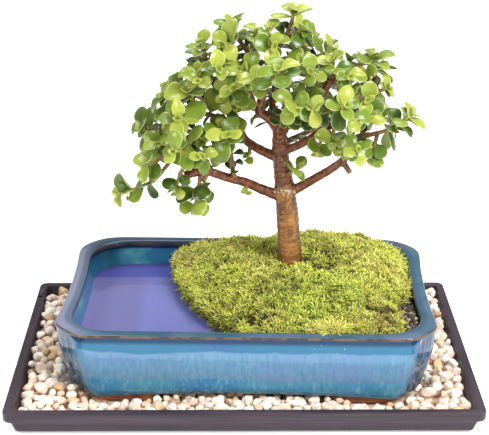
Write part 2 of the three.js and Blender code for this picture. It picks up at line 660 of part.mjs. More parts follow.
// Each shoot: its spray, where it leaves the wood, a middle point, its tip, its pairs of
// leaves, the length of its largest leaf and, where it has one, the reach of its side
// shoot. Shoots with one name are one spray.
const SHOOTS = [
  ['low_tip', [-44, -12, 168], [-62, -16, 147], [-85, -18, 138], 5, 17],
  ['low_drop', [-35, -9, 165], [-44, -13, 151], [-47, -14, 140], 3, 16],
  ['under_stub', [-30, -5, 150], [-31, -8, 141], [-34, -8, 125], 4, 18],
  ['far_left', [-59, 18, 173], [-64, 17, 173], [-70, 15, 175], 2, 18, [-6, 24, 0]],
  ['left_face', [-48, 20, 172], [-58, 8, 168], [-65, 0, 167], 3, 17, [-2, -26, 5]],
  ['left_tip_mid', [-53, -14, 167], [-60, -20, 162], [-67, -22, 160], 3, 16],
  ['left_upper_tip', [-44, 7, 195], [-48, 4, 199], [-54, 2, 202], 3, 16, [-4, 24, 0]],
  ['left_upper_low', [-41, 7, 193], [-43, 0, 186], [-51, -4, 186], 3, 17, [-2, -27, 7]],
  ['big_face', [-36, 8, 190], [-35, -2, 199], [-37, -8, 207], 2, 21],
  ['fan_tip', [-26, 11, 226], [-27, 9, 231], [-29, 8, 237], 3, 16, [-5, 22, -4]],
  ['fan_side', [-21, 14, 208], [-27, 6, 214], [-33, 0, 219], 3, 17, [-5, -24, 5]],
  ['dark_big', [-4, 19, 206], [-7, 6, 204], [-12, -2, 204], 3, 20, [0, -26, 9]],
  ['fan_front', [-23, 12, 217], [-18, 0, 221], [-14, -6, 227], 3, 17, [2, -24, 7]],
  ['top_left', [-2, 15, 237], [-7, 14, 243], [-9, 13, 250], 4, 18, [0, 22, -4]],
  ['top_left', [-6, 14, 242], [-7, 5, 240], [-12, -2, 240], 3, 18],
  ['upper_mid', [6, 17, 223], [8, 10, 237], [10, 8, 245], 3, 16, [-3, 22, -6]],
  ['shoot_mid', [23, 10, 233], [18, 5, 241], [17, 3, 248], 3, 17, [1, -21, 2]],
  ['top', [32, 8, 251], [33, 8, 255], [33, 8, 259], 2, 17],
  ['top_side', [29, 9, 244], [35, 6, 245], [40, 4, 248], 3, 17, [4, 22, -8]],
  ['front_rosette', [25, -36, 224], [23, -42, 227], [22, -46, 232], 3, 18],
  ['front_low', [29, -26, 209], [32, -36, 209], [34, -44, 207], 3, 17, [14, -10, -3]],
  ['mid_top', [37, 32, 226], [43, 34, 230], [50, 35, 232], 3, 16, [4, 22, -2]],
  ['right_a', [49, 4, 229], [54, 2, 232], [60, 0, 235], 3, 16, [6, 22, -3]],
  ['right_b', [49, 3, 219], [43, -8, 223], [39, -14, 229], 3, 17, [-1, -25, 6]],
  ['right_c', [59, -5, 217], [60, -12, 222], [58, -16, 230], 3, 17, [9, -22, 4]],
  ['right_d', [72, 2, 226], [79, 0, 224], [84, -2, 220], 3, 16, [4, 22, -4]],
  ['right_top', [91, 8, 214], [89, 8, 221], [88, 8, 229], 4, 17, [4, 22, -5]],
  ['right_e', [87, 8, 204], [93, 4, 205], [98, 2, 208], 3, 13, [2, 22, 0]],
  ['right_f', [86, 8, 202], [73, -4, 203], [68, -10, 209], 3, 17, [6, -26, 5]],
  ['right_g', [75, 8, 189], [85, 0, 192], [91, -4, 191], 3, 16, [2, -24, 5]],
  ['right_twig', [87, -6, 177], [101, -9, 182], [113, -12, 192], 5, 17, [6, 20, -3]],
  ['right_twig', [92, -7, 179], [90, -9, 171], [88, -9, 163], 3, 16],
  ['right_low_a', [75, -4, 172], [74, -12, 170], [73, -14, 166], 3, 16, [2, -24, 5]],
  ['right_low_b', [63, 8, 181], [62, -4, 180], [61, -8, 175], 3, 20],
  ['right_low_c', [53, 8, 175], [54, 2, 171], [52, 0, 166], 2, 18],
  ['trunk_side', [28, 8, 143], [34, -2, 149], [37, -4, 152], 1, 16],
  ['knuckle_drop', [5, 15, 164], [4, 12, 159], [3, 12, 155], 1, 10],
  ['low_bud', [2, 4, 139], [2, 0, 136], [2, -1, 135], 1, 9],
  ['riser_top', [-12, -3, 171], [-14, -9, 179], [-15, -12, 184], 3, 18, [2, -23, 7]],
  ['riser_side', [-9, 0, 163], [-13, -8, 166], [-17, -12, 168], 2, 17],
  ['sweep_a', [-27, -6, 159], [-27, -14, 167], [-27, -18, 175], 3, 17, [-1, -22, 5]],
  ['sweep_b', [-40, -10, 167], [-37, -18, 173], [-41, -22, 178], 3, 17, [-9, -20, 3]],
  ['elbow_face', [-3, 18, 177], [-5, 7, 186], [-6, -4, 195], 2, 18, [-12, 12, 8]],
  ['crown_side', [14, 7, 209], [8, -6, 219], [3, -10, 223], 3, 17, [-1, -27, 5]],
  ['crown_right', [48, -1, 194], [43, -14, 201], [40, -20, 207], 3, 17],
  ['front_right', [58, -34, 203], [61, -44, 207], [65, -50, 210], 3, 17, [13, -8, -6]],
  ['back_left', [2, 66, 185], [-2, 72, 186], [-8, 80, 189], 3, 17, [-17, 2, 8]],
  ['back_left_up', [9, 52, 181], [5, 60, 192], [4, 66, 201], 3, 17, [-14, 10, 4]],
  ['back_right', [55, 66, 188], [61, 74, 189], [69, 80, 192], 3, 17, [-12, 14, 8]],
  ['back_right_up', [45, 52, 184], [47, 60, 195], [46, 64, 205], 3, 17, [12, 14, 3]],
  ['back_mid', [30, 60, 194], [32, 68, 199], [33, 74, 205], 3, 17, [-12, 14, -7]],
  ['back_far_left', [-37, 58, 189], [-43, 62, 190], [-50, 64, 193], 3, 17, [6, 14, 15]],
  ['back_far_right', [71, 48, 179], [79, 54, 182], [86, 58, 186], 3, 17, [1, 8, 19]],
];

const STEM_SIDES = 3;
const STEM_RADII = [1.7, 1.6, 1.5]; // of a shoot, where it leaves the wood to its tip
const SIDE_START = 0.4;          // where a side shoot leaves its shoot
const SIDE_PAIRS = 2;
const SIDE_SIZE = 0.95;          // its leaves against those of its shoot
const LEAF_FOOT = 0.4;           // its stalk starts this far behind the stem's middle
const LEAF_WIDE = 0.76;          // width of a leaf as a share of its length
const TIP_LEAN = 0.5;            // how far the last pair of leaves points on along its stem
const LOWER_LEAN = 0.3;          // and the pairs below it
const LEAF_RISE = 0.16;          // how far the last pair rises, against its reach,
const LEAF_SAG = 0.1;            // and how much less each pair below it does
const LEAF_KEEL = 0.15;          // and its thickness

// Leaves turn outwards from the middle of the canopy, more to its front and back.
const CANOPY_MIDDLE = new THREE.Vector3(25, 32, 0);
const CANOPY_FACING = new THREE.Vector3(0.25, 1, 0);

// Along a leaf, as shares of its length: where it is widest, where it ends, and how wide
// its blunt end is.
const LEAF_WIDEST = 0.64;
const LEAF_END = 0.98;
const LEAF_BLUNT = 0.5;

// The place at a share, 0 to 1, of the way along a shoot's two stretches.
function alongShoot(line, share) {
  const stretch = share < 0.5 ? 0 : 1;
  return line[stretch].clone().lerp(line[stretch + 1], 2 * share - stretch);
}

function allShoots() {
  return SHOOTS.flatMap(([name, start, middle, tip, pairs, size, side]) => {
    const line = vectors([start, middle, tip]);
    const main = { name, line, pairs, size };
    if (!side) {
      return [main];
    }
    const root = alongShoot(line, SIDE_START);
    const end = root.clone().add(new THREE.Vector3(...side));
    const halfway = root.clone().lerp(end, 0.5).add(new THREE.Vector3(0, 0, -1.5));
    return [main, {
      name, line: [root, halfway, end], pairs: SIDE_PAIRS, size: size * SIDE_SIZE,
    }];
  });
}

// Where a leaf sits and how it is turned: its stalk's foot, its length along out, its
// upper face towards face, and its width along side.
function leafFrame(root, out, face, length, width) {
  const along = out.clone().normalize();
  const up = face.clone().addScaledVector(along, -face.dot(along)).normalize();
  const side = new THREE.Vector3().crossVectors(up, along);
  return { root, along, up, side, length, width };
}

function leafPoint(leaf, share, across, lift) {
  return leaf.root.clone()
    .addScaledVector(leaf.along, share * leaf.length)
    .addScaledVector(leaf.side, across * leaf.width / 2)
    .addScaledVector(leaf.up, lift * leaf.length);
}

// The blade arches: it rises from the stalk and its tip bends back down.
function leafArch(share) {
  return 0.22 * share * (1 - share) - 0.05 * share;
}

// A thick blade, flat above and keeled below, that widens from a point in its stem to past
// its middle and ends bluntly.
function leafGeometry(leaf) {
  const lift = leafArch(LEAF_WIDEST);
  const low = leafArch(LEAF_END) - LEAF_KEEL / 3;
  const points = [
    leafPoint(leaf, 0, 0, 0),
    leafPoint(leaf, LEAF_WIDEST, 1, lift),
    leafPoint(leaf, LEAF_WIDEST, -1, lift),
    leafPoint(leaf, LEAF_WIDEST, 0, lift - LEAF_KEEL),
    leafPoint(leaf, LEAF_END, LEAF_BLUNT, low),
    leafPoint(leaf, LEAF_END, -LEAF_BLUNT, low),
  ];
  const geometry = new THREE.BufferGeometry();
  geometry.setAttribute('position', new THREE.Float32BufferAttribute(
    points.flatMap((point) => [point.x, point.y, point.z]),
    3,
  ));
  geometry.setIndex([0, 2, 1, 0, 3, 2, 0, 1, 3, 1, 5, 4, 1, 2, 5, 2, 3, 5, 3, 4, 5, 3, 1, 4]);
  return geometry;
}

// Points spread over a leaf's blade, which stand for it where clearance is looked at.
function bladePoints(leaf) {
  const points = [leafPoint(leaf, 1, 0, leafArch(1))];
  [[0.3, 0.55], [0.5, 0.85], [0.7, 1], [0.9, 0.7]].forEach(([share, half]) => {
    [-1, -0.5, 0, 0.5, 1].forEach((across) => {
      points.push(leafPoint(leaf, share, across * half, leafArch(share)));
    });
  });
  return points;
}

// Points along a line of points, six to each stretch, with the radius there.
function linePoints(line, radii) {
  return line.slice(1).flatMap((next, stretch) => [0, 1, 2, 3, 4, 5, 6].map((sixth) => ({
    point: line[stretch].clone().lerp(next, sixth / 6),
    radius: THREE.MathUtils.lerp(radii[stretch], radii[stretch + 1], sixth / 6),
  })));
}

// Leaves stand in opposite pairs, each pair a quarter turn from the one before. A leaf
// that would come too near another is turned or made smaller, and left out if it still
// does. The outermost pairs of all shoots come first. A leaf's upper face turns to the
// sky and out of the canopy, and on an upright shoot towards the shoot's tip.
function growLeaves(shoots) {
  const stems = shoots.map(({ name, line }) => ({ name, points: linePoints(line, STEM_RADII) }));
  const timber = [TRUNK, ...LIMBS].flatMap(({ points, radii }) => linePoints(vectors(points), radii));
  const placed = [];
  const up = new THREE.Vector3(0, 0, 1);

  const isClear = (leaf, name) => {
    const blade = bladePoints(leaf);
    const middle = leafPoint(leaf, 0.55, 0, 0);
    const near = placed.filter((other) => other.middle.distanceTo(middle)
      < (leaf.length + other.length) * 0.62 + LEAF_CLEAR);
    if (near.some((other) => {
      const room = other.name === name ? OWN_CLEAR : LEAF_CLEAR;
      return other.blade.some((point) => blade.some((mine) => mine.distanceTo(point) < room));
    })) {
      return false;
    }
    const meets = (points) => points.some(({ point, radius }) => blade.some(
      (mine) => mine.distanceTo(point) < radius + STEM_CLEAR));
    return !meets(timber) && !stems.some((stem) => stem.name !== name && meets(stem.points));
  };

  const mostPairs = Math.max(...shoots.map(({ pairs }) => pairs));
  const leaves = shoots.map(() => []);
  for (let rank = 0; rank < mostPairs; rank += 1) {
    shoots.forEach(({ name, line, pairs, size }, own) => {
      if (rank >= pairs) {
        return;
      }
      const draw = draws(7001 + 131 * own + 17 * rank);
      const place = 0.96 - 0.68 * rank / pairs;
      const stretch = place < 0.5 ? 0 : 1;
      const along = line[stretch + 1].clone().sub(line[stretch]).normalize();
      const level = Math.abs(along.z) > 0.9 ? new THREE.Vector3(1, 0, 0) : up;
      const across = new THREE.Vector3().crossVectors(along, level).normalize();
      const third = new THREE.Vector3().crossVectors(across, along);
      const outward = alongShoot(line, place).sub(CANOPY_MIDDLE).multiply(CANOPY_FACING).normalize();
      const quarter = (rank % 2) * Math.PI / 2 + 0.6 * (draw() - 0.5) + own;
      const lean = rank === 0 ? TIP_LEAN : LOWER_LEAN;
      const upright = THREE.MathUtils.clamp(along.z, 0, 1);
      [0, Math.PI].forEach((half) => {
        const grown = (rank === 0 ? 0.8 : 0.95) * (0.76 + 0.36 * draw());
        const wide = LEAF_WIDE * (0.85 + 0.3 * draw());
        const tilt = 0.4 * (draw() - 0.5);
        const roll = 0.9 * (draw() - 0.5);
        const tries = [[0, 1], [0.45, 1], [-0.45, 1], [0.2, 0.8], [-0.6, 0.8], [0.8, 0.72]];
        for (const [turn, less] of tries) {
          const angle = quarter + half + turn;
          const radial = across.clone().multiplyScalar(Math.cos(angle))
            .addScaledVector(third, Math.sin(angle));
          const out = radial.clone().addScaledVector(along, lean + tilt)
            .addScaledVector(up, LEAF_RISE - LEAF_SAG * rank);
          const face = outward.clone().multiplyScalar(0.6 - 0.35 * upright)
            .addScaledVector(up, 0.9).addScaledVector(along, 0.3 + 0.5 * upright)
            .addScaledVector(new THREE.Vector3().crossVectors(along, radial), roll)
            .addScaledVector(radial, -0.3);
          const length = size * grown * less;
          const leaf = leafFrame(alongShoot(line, place), out, face, length, length * wide);
          leaf.root.addScaledVector(leaf.along, -LEAF_FOOT);
          if (isClear(leaf, name)) {
            placed.push({
              name, blade: bladePoints(leaf), middle: leafPoint(leaf, 0.55, 0, 0), length,
            });
            leaves[own].push(leaf);
            return;
          }
        }
      });
    });
  }
  return leaves;
}

// One node for each spray: its stems and leaves are one body, cut back to clear the wood.
function sprays(woodRoom) {
  const shoots = allShoots();
  const leaves = growLeaves(shoots);
  const look = material('#6f9a2f', 0.42);
  const bodies = new Map();
  shoots.forEach(({ name, line }, own) => {
    const stem = limb(line, STEM_RADII, STEM_SIDES);
    const body = joined([stem, ...leaves[own].map(leafGeometry)]);
    bodies.set(name, bodies.has(name) ? bodies.get(name).add(body) : body);
  });
  return [...bodies].map(([name, body]) => (
    named(`spray_${name}`, shape(largest(body.subtract(woodRoom))), look)
  ));
}

// ---------------------------------------------------------------- assembly

const bonsai = new THREE.Group();

bonsai.add(named('humidity_tray', humidityTray(), material('#4a3b45', 0.55)));
bonsai.add(named('gravel', gravel(), material('#d9cdb6', 0.6)));

const potGroup = new THREE.Group();
potGroup.position.set(POT_X, POT_Y, 0);
potGroup.rotation.z = POT_TURN;
potGroup.updateMatrixWorld();
const trunkFoot = potGroup.worldToLocal(new THREE.Vector3(33, 8, 0));
const trunkCentre = new THREE.Vector2(trunkFoot.x, trunkFoot.y);
potGroup.add(named('pot', pot(), material('#4f86a8', 0.15)));
potGroup.add(named('water', water(), material('#8f8fc8', 0.05)));
potGroup.add(named('soil', soil(trunkCentre), material('#3a2c20', 0.95)));
potGroup.add(named('moss', moss(trunkCentre), material('#7d8f2e', 0.95)));
DRAIN_HOLES.forEach(([x, y], i) => {
  potGroup.add(named(`drain_screen_${i + 1}`, drainScreen(x, y), material('#202020', 0.7)));
});
bonsai.add(potGroup);

bonsai.add(named('trunk', shape(wood()), material('#8a4a2c', 0.5)));
bonsai.add(...sprays(wood(GAP)));

export default bonsai;
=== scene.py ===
"""A dwarf jade bonsai in a glazed land-and-water pot, on pebbles in a humidity tray.

Shapes are worked out in millimetres and turned into metres when a piece is made.
"""
import math

import bpy
import numpy as np
from mathutils import Matrix, Vector, kdtree


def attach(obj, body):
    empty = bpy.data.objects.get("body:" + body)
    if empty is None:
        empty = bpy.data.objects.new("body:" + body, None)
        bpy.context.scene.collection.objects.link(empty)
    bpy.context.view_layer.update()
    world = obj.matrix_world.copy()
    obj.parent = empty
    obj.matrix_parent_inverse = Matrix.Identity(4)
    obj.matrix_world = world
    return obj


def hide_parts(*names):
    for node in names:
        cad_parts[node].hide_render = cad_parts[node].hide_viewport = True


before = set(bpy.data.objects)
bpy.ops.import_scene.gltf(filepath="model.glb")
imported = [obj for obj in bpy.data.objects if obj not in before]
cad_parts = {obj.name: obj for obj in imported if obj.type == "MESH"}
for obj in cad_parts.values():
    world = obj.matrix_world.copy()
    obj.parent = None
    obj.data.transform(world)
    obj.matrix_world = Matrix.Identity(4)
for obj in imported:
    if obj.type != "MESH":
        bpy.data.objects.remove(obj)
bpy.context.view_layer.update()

MM = 0.001

# ------------------------------------------------------------------ driving dimensions

TRAY_LENGTH = 320
TRAY_WIDTH = 225
TRAY_HEIGHT = 18.4
TRAY_CORNER = 6
TRAY_LIP = 6
TRAY_LIP_DEPTH = 7
TRAY_FLOOR = 2.4
TRAY_FLOOR_INSET = 9.9
TRAY_HOLE = 1.7
TRAY_SKIRT = 1.2
TRAY_PADS = ((-130.3, 32), (-3, 47), (129.5, 31))

POT_X = 3.2
POT_Y = 6.1
POT_TURN = -0.032
POT_HALF_LENGTH = 130
POT_HALF_WIDTH = 93.5
POT_TOP = 61.4
POT_SKIRT = 10.6
SKIRT_INSET = 11
SKIRT_HALF_LENGTH = 118
SKIRT_HALF_WIDTH = 82
POT_ARCH = 3.4
POT_ARCH_HALF = 100
POT_UNDERSIDE = 12.2
POT_FOOT = 6.8
POT_LIP = 9.8
POT_LIP_DEPTH = 4.7
POT_FLOOR = 19

DIVIDER_TOP = 54.4
DIVIDER_HALF = 2.5
WATER_TOP = 42.5

TRUNK_X, TRUNK_Y = 33.0, 8.0
TRUNK_LEAN = 0.09
LEAN_START = 90.0

SOIL_EDGE = 54.4
MOSS_CROWN = 81
MOSS_EDGE = 61.5
# Swells along the moss's edge: their direction from the trunk, their width and their rise.
MOSS_LOBES = ((1.2, 0.42, 8), (2.75, 0.75, -5.5), (0.45, 0.33, -4.5))
ROOT_PLUG = 52
TRUNK_HOLE = 9.4
SOIL_RIM = 10.4
SOIL_SIDE = 3.3
MOSS_SIDE = -1.3
HEM_INSET = 11.5


# ------------------------------------------------------------------ finishes

def tint(red, green, blue):
    """A colour given as it shows on a screen, 0 to 255, as Blender's linear one."""
    def linear(c):
        c /= 255
        return c / 12.92 if c <= 0.04045 else ((c + 0.055) / 1.055) ** 2.4
    return (linear(red), linear(green), linear(blue), 1)


class Signal:
    """An output of a shader node. Arithmetic on it adds Math nodes."""

    def __init__(self, finish, socket):
        self.finish, self.socket = finish, socket

    def _math(self, operation, a, b=0.0):
        return self.finish.add("Math", {"operation": operation}, {0: a, 1: b})

    def __add__(self, other):
        return self._math("ADD", self, other)

    def __radd__(self, other):
        return self._math("ADD", other, self)

    def __sub__(self, other):
        return self._math("SUBTRACT", self, other)

    def __rsub__(self, other):
        return self._math("SUBTRACT", other, self)

    def __mul__(self, other):
        return self._math("MULTIPLY", self, other)

    def __rmul__(self, other):
        return self._math("MULTIPLY", other, self)

    def __pow__(self, other):
        return self._math("POWER", self, other)

    def sin(self):
        return self._math("SINE", self)

    def size(self):
        return self._math("ABSOLUTE", self)

    def least(self, other):
        return self._math("MINIMUM", self, other)

    def step(self, low, high):
        """0 below low and 1 above high, smooth between them. Low may be the larger."""
        settings = {"interpolation_type": "SMOOTHSTEP", "clamp": True}
        if low < high:
            return self.finish.add("MapRange", settings, {0: self, 1: low, 2: high})
        return self.finish.add("MapRange", settings, {0: self, 1: high, 2: low, 3: 1.0, 4: 0.0})


class Finish:
    """One material and its nodes."""

    def __init__(self, name):
        self.material = bpy.data.materials.new(name)
        self.material.use_nodes = True
        self.tree = self.material.node_tree
        self.tree.nodes.clear()
        self.place = self.add("TexCoord", output="Object")

    def add(self, kind, settings=(), sockets=(), output=0):
        """A node of a kind: its settings come first, then its sockets' values or links."""
        node = self.tree.nodes.new("ShaderNode" + kind)
        for key, value in dict(settings).items():
            if key == "stops":
                while len(node.color_ramp.elements) < len(value):
                    node.color_ramp.elements.new(0.5)
                for element, (position, color) in zip(node.color_ramp.elements, value):
                    element.position, element.color = position, color
            else:
                setattr(node, key, value)
        for key, value in dict(sockets).items():
            if isinstance(value, Signal):
                self.tree.links.new(value.socket, node.inputs[key])
            else:
                node.inputs[key].default_value = value
        return Signal(self, node.outputs[output])

    def mark(self, name):
        """A number kept on the mesh's points."""
        return self.add("Attribute", {"attribute_name": name}, output="Fac")

    def axis(self, letter):
        """One coordinate of the place, in millimetres."""
        return self.add("SeparateXYZ", {}, {0: self.place}, letter) * 1000.0

    def stretched(self, x, y, z):
        return self.add("Mapping", {}, {"Vector": self.place, "Scale": (x, y, z)})

    def noise(self, per_metre, detail=2.0, vector=None, rough=0.5, warp=0.0):
        sockets = {"Vector": vector or self.place, "Scale": per_metre, "Detail": detail,
                   "Roughness": rough, "Distortion": warp}
        return self.add("TexNoise", {}, sockets)

    def blend(self, share, first, second):
        return self.add("Mix", {"data_type": "RGBA"}, {0: share, 6: first, 7: second}, 2)

    def ramp(self, share, *stops):
        return self.add("ValToRGB", {"stops": stops}, {0: share})

    def bump(self, height, distance, strength=1.0):
        sockets = {"Height": height, "Distance": distance * MM, "Strength": strength}
        return self.add("Bump", {}, sockets)

    def done(self, **sockets):
        """Closes the material with a Principled shader. A socket's name has _ for a space."""
        named = {k.replace("_", " ").title().replace("Ior", "IOR"): v for k, v in sockets.items()}
        shader = self.add("BsdfPrincipled", {}, named)
        out = self.tree.nodes.new("ShaderNodeOutputMaterial")
        self.tree.links.new(shader.socket, out.inputs["Surface"])
        return self.material


def tray_plastic():
    f = Finish("tray_plastic")
    scuffs = f.noise(1.0, 4.0, f.stretched(14, 14, 700))
    cloud = f.noise(30.0, 3.0)
    color = f.blend(scuffs.step(0.3, 0.75), tint(44, 32, 42), tint(70, 56, 67))
    color = f.blend(cloud.step(0.45, 0.8) * 0.5, color, tint(62, 45, 48))
    grain = f.noise(900.0, 2.0)
    return f.done(base_color=color, roughness=0.36 + scuffs * 0.2, specular_ior_level=0.4,
                  normal=f.bump(scuffs + grain * 0.4, 0.12, 0.6))


def pebble_stone():
    f = Finish("pebble_stone")
    color = f.ramp(f.mark("tint"),
                   (0.0, tint(248, 241, 228)), (0.34, tint(244, 232, 212)),
                   (0.56, tint(240, 218, 196)), (0.72, tint(238, 210, 196)),
                   (0.9, tint(232, 204, 174)), (0.96, tint(222, 188, 136)),
                   (0.99, tint(204, 166, 140)), (1.0, tint(150, 116, 96)))
    veins = f.noise(160.0, 5.0, warp=1.5)
    color = f.blend(veins.step(0.54, 0.75) * 0.35, color, tint(186, 146, 116))
    speckle = f.noise(900.0, 3.0)
    color = f.blend(speckle.step(0.58, 0.8) * 0.3, color, tint(130, 100, 82))
    color = f.blend(veins.step(0.42, 0.25) * 0.5, color, tint(252, 250, 244))
    return f.done(base_color=color, roughness=0.42 + veins * 0.25,
                  normal=f.bump(speckle + veins * 1.5, 0.35, 0.6))


# Where the glaze's colour changes, in millimetres: where each change starts and where it is full.
# Some of these changes are painted shade or painted reflection, as noted at each.
LOW_BAND = (27.5, 25.0)
FOOT_BAND = (17.5, 14.5)
TOP_BAND = (48.2, 50.2)
# Painted shade: a dark navy band on the outer wall just under the rim.
UNDER_LIP_SHADE = (53.5, 57.5)
# Painted shade: the inner wall darkens just under the rim's overhang.
INSIDE_LIP_SHADE = (54.5, 57.0)
# Painted reflection: the rim's top turns pale lavender towards the left end.
LEFT_RIM_SHEEN = (-100.0, -122.0)
BACK_RIM = (70.0, 88.0)


def blue_glaze():
    f = Finish("blue_glaze")
    height = f.axis("Z")
    wobble = f.noise(22.0, 3.0)
    patch = f.noise(16.0, 2.0)
    streaks = f.noise(1.0, 4.0, f.stretched(420, 420, 26), 0.65)
    fine = f.noise(1.0, 2.0, f.stretched(1300, 1300, 90))
    level = height + (wobble - 0.5) * 8.0 + (streaks - 0.5) * 2.5
    color = f.blend(streaks.step(0.3, 0.72), tint(90, 137, 168), tint(114, 153, 182))
    color = f.blend(fine.step(0.5, 0.75) * 0.4, color, tint(98, 164, 194))
    color = f.blend(patch.step(0.5, 0.72) * 0.5, color, tint(112, 136, 184))
    deep = f.blend(wobble.step(0.4, 0.6), tint(52, 134, 186), tint(76, 156, 190))
    deep = f.blend(streaks.step(0.48, 0.7) * 0.7, deep, tint(126, 188, 214))
    color = f.blend(level.step(*LOW_BAND) * 0.8, color, deep)
    color = f.blend(level.step(*FOOT_BAND) * 0.6, color, tint(54, 114, 146))
    band = f.blend(patch.step(0.42, 0.6), tint(52, 100, 148), tint(46, 112, 146))
    color = f.blend(level.step(*TOP_BAND) * 0.9, color, band)
    # Painted shade under the rim: the top of the outer wall darkens to navy.
    color = f.blend(height.step(*UNDER_LIP_SHADE) * 0.85, color, tint(20, 40, 74))
    # Painted reflections on the drawn-out corners: dark streaks with pale highlight lines.
    lines = f.noise(1.0, 3.0, f.stretched(260, 260, 9), 0.7)
    corner_reflections = f.blend(lines.step(0.4, 0.56), tint(20, 28, 44), tint(84, 98, 124))
    corner_reflections = f.blend(lines.step(0.64, 0.7), corner_reflections, tint(206, 208, 222))
    color = f.blend(f.mark("corner") * 0.85, color, corner_reflections)
    # The inside's glaze colour, then painted shade under the rim's overhang near its top.
    inside_glaze_and_shade = f.blend(f.noise(34.0, 3.0).step(0.4, 0.65), tint(50, 116, 152), tint(100, 180, 180))
    inside_glaze_and_shade = f.blend(height.step(*INSIDE_LIP_SHADE), inside_glaze_and_shade, tint(20, 40, 62))
    color = f.blend(f.mark("inside"), color, inside_glaze_and_shade)
    rim_color = f.blend(f.noise(30.0, 3.0).step(0.35, 0.65), tint(46, 88, 106), tint(84, 108, 134))
    # Painted reflection: pale lavender over the rim towards the left end.
    rim_color = f.blend(f.axis("X").step(*LEFT_RIM_SHEEN) * 0.7, rim_color, tint(142, 142, 166))
    rim_color = f.blend(f.mark("ledge") * 0.6, rim_color, tint(44, 76, 100))
    rim_color = f.blend(f.axis("Y").step(*BACK_RIM) * 0.7, rim_color, tint(58, 72, 88))
    color = f.blend(f.mark("rim"), color, rim_color)
    worn = (f.mark("break") * (0.85 + 0.3 * f.noise(60.0, 3.0))).least(1.0)
    clay = f.blend(f.noise(90.0).step(0.4, 0.6), tint(78, 56, 36), tint(120, 88, 56))
    color = f.blend(worn, color, clay)
    specks = f.noise(520.0, 2.0).step(0.7, 0.78) * f.noise(70.0).step(0.45, 0.7)
    color = f.blend(specks * 0.6, color, tint(28, 50, 82))
    pits = f.noise(260.0, 3.0)
    return f.done(base_color=color, roughness=0.1 + specks * 0.3 + worn * 0.12, ior=1.5,
                  specular_ior_level=0.3, specular_tint=tint(190, 222, 255),
                  coat_weight=0.22, coat_roughness=0.02,
                  normal=f.bump(wobble * 4.0 + pits * 0.5, 0.35, 0.5))


def bare_clay():
    f = Finish("bare_clay")
    cloud = f.noise(90.0, 4.0)
    color = f.blend(cloud.step(0.35, 0.7), tint(150, 88, 66), tint(190, 128, 100))
    grit = f.noise(1200.0, 3.0)
    return f.done(base_color=color, roughness=0.85, normal=f.bump(grit + cloud, 0.25, 0.7))


# Painted reflections on the water: where the paler reflection of the studio starts and is full, and
# where the dark reflection of the back wall does.
PALE_REFLECTION = (-78.0, -69.0)
WALL_REFLECTION = (62.0, 67.0)


def still_water():
    f = Finish("still_water")
    drift = f.noise(9.0, 2.0)
    # The water's lavender is the purple basin under it together with a painted reflection of the
    # white studio.
    color = f.blend(drift.step(0.3, 0.7), tint(106, 106, 160), tint(118, 114, 168))
    # Painted reflections: paler towards the right, darker under the back wall.
    color = f.blend(f.axis("X").step(*PALE_REFLECTION) * 0.65, color, tint(112, 120, 186))
    color = f.blend(f.axis("Y").step(*WALL_REFLECTION) * 0.8, color, tint(76, 76, 158))
    ripple = f.noise(1.0, 2.0, f.stretched(26, 40, 26))
    return f.done(base_color=color, roughness=0.03, ior=1.33,
                  normal=f.bump(ripple, 0.5, 0.25))


def potting_soil():
    f = Finish("potting_soil")
    crumbs = f.noise(420.0, 4.0)
    color = f.blend(crumbs.step(0.35, 0.7), tint(24, 17, 12), tint(68, 50, 36))
    color = f.blend(f.mark("pale"), color, tint(196, 178, 152))
    return f.done(base_color=color, roughness=0.95, normal=f.bump(crumbs, 1.2))


# The front mound, where the moss is partly greener in itself and partly brightened by painted light
# on its top.
MOUND_X, MOUND_Y = 52.0, -46.0
MOUND_EDGE = (900.0, 200.0)


def moss_green(name, dark, light, brown):
    f = Finish(name)
    patch = f.noise(38.0, 4.0)
    bright = f.blend(patch.step(0.42, 0.7), light, brown)
    bright = f.blend(f.mark("tint").step(0.2, 0.9) * 0.6, bright, tint(250, 252, 150))
    deep = f.blend(f.noise(90.0).step(0.4, 0.7), dark, tint(84, 66, 26))
    mound = ((f.axis("X") - MOUND_X) * 0.7) ** 2.0 + (f.axis("Y") - MOUND_Y) ** 2.0
    # Brighter on the front mound: partly greener moss and partly painted light.
    bright = f.blend(mound.step(*MOUND_EDGE) * 0.5, bright, tint(216, 244, 84))
    color = f.blend(f.mark("tip").step(0.12, 0.85), deep, bright)
    # Painted shade: dark brown where the mark low is high, in gaps, seams, at the edge and down the
    # hem.
    color = f.blend(f.mark("low").step(0.15, 0.9) * 0.9, color, tint(62, 44, 18))
    leaning = f.add("VectorMath", {"operation": "ADD"},
                    {0: f.add("NewGeometry", output="Normal"), 1: (0, -0.15, 0.7)})
    return f.done(base_color=color, roughness=0.55,
                  normal=f.add("VectorMath", {"operation": "NORMALIZE"}, {0: leaning}))


# Heights on the trunk where the bark changes, and the limbs' radii that count as trunk.
TRUNK_RADII = (4.6, 6.2)
GOLDEN_BARK = (143.0, 130.0)
FORK_BAND = 135.5
ROOT_BARK = (94.0, 84.0)


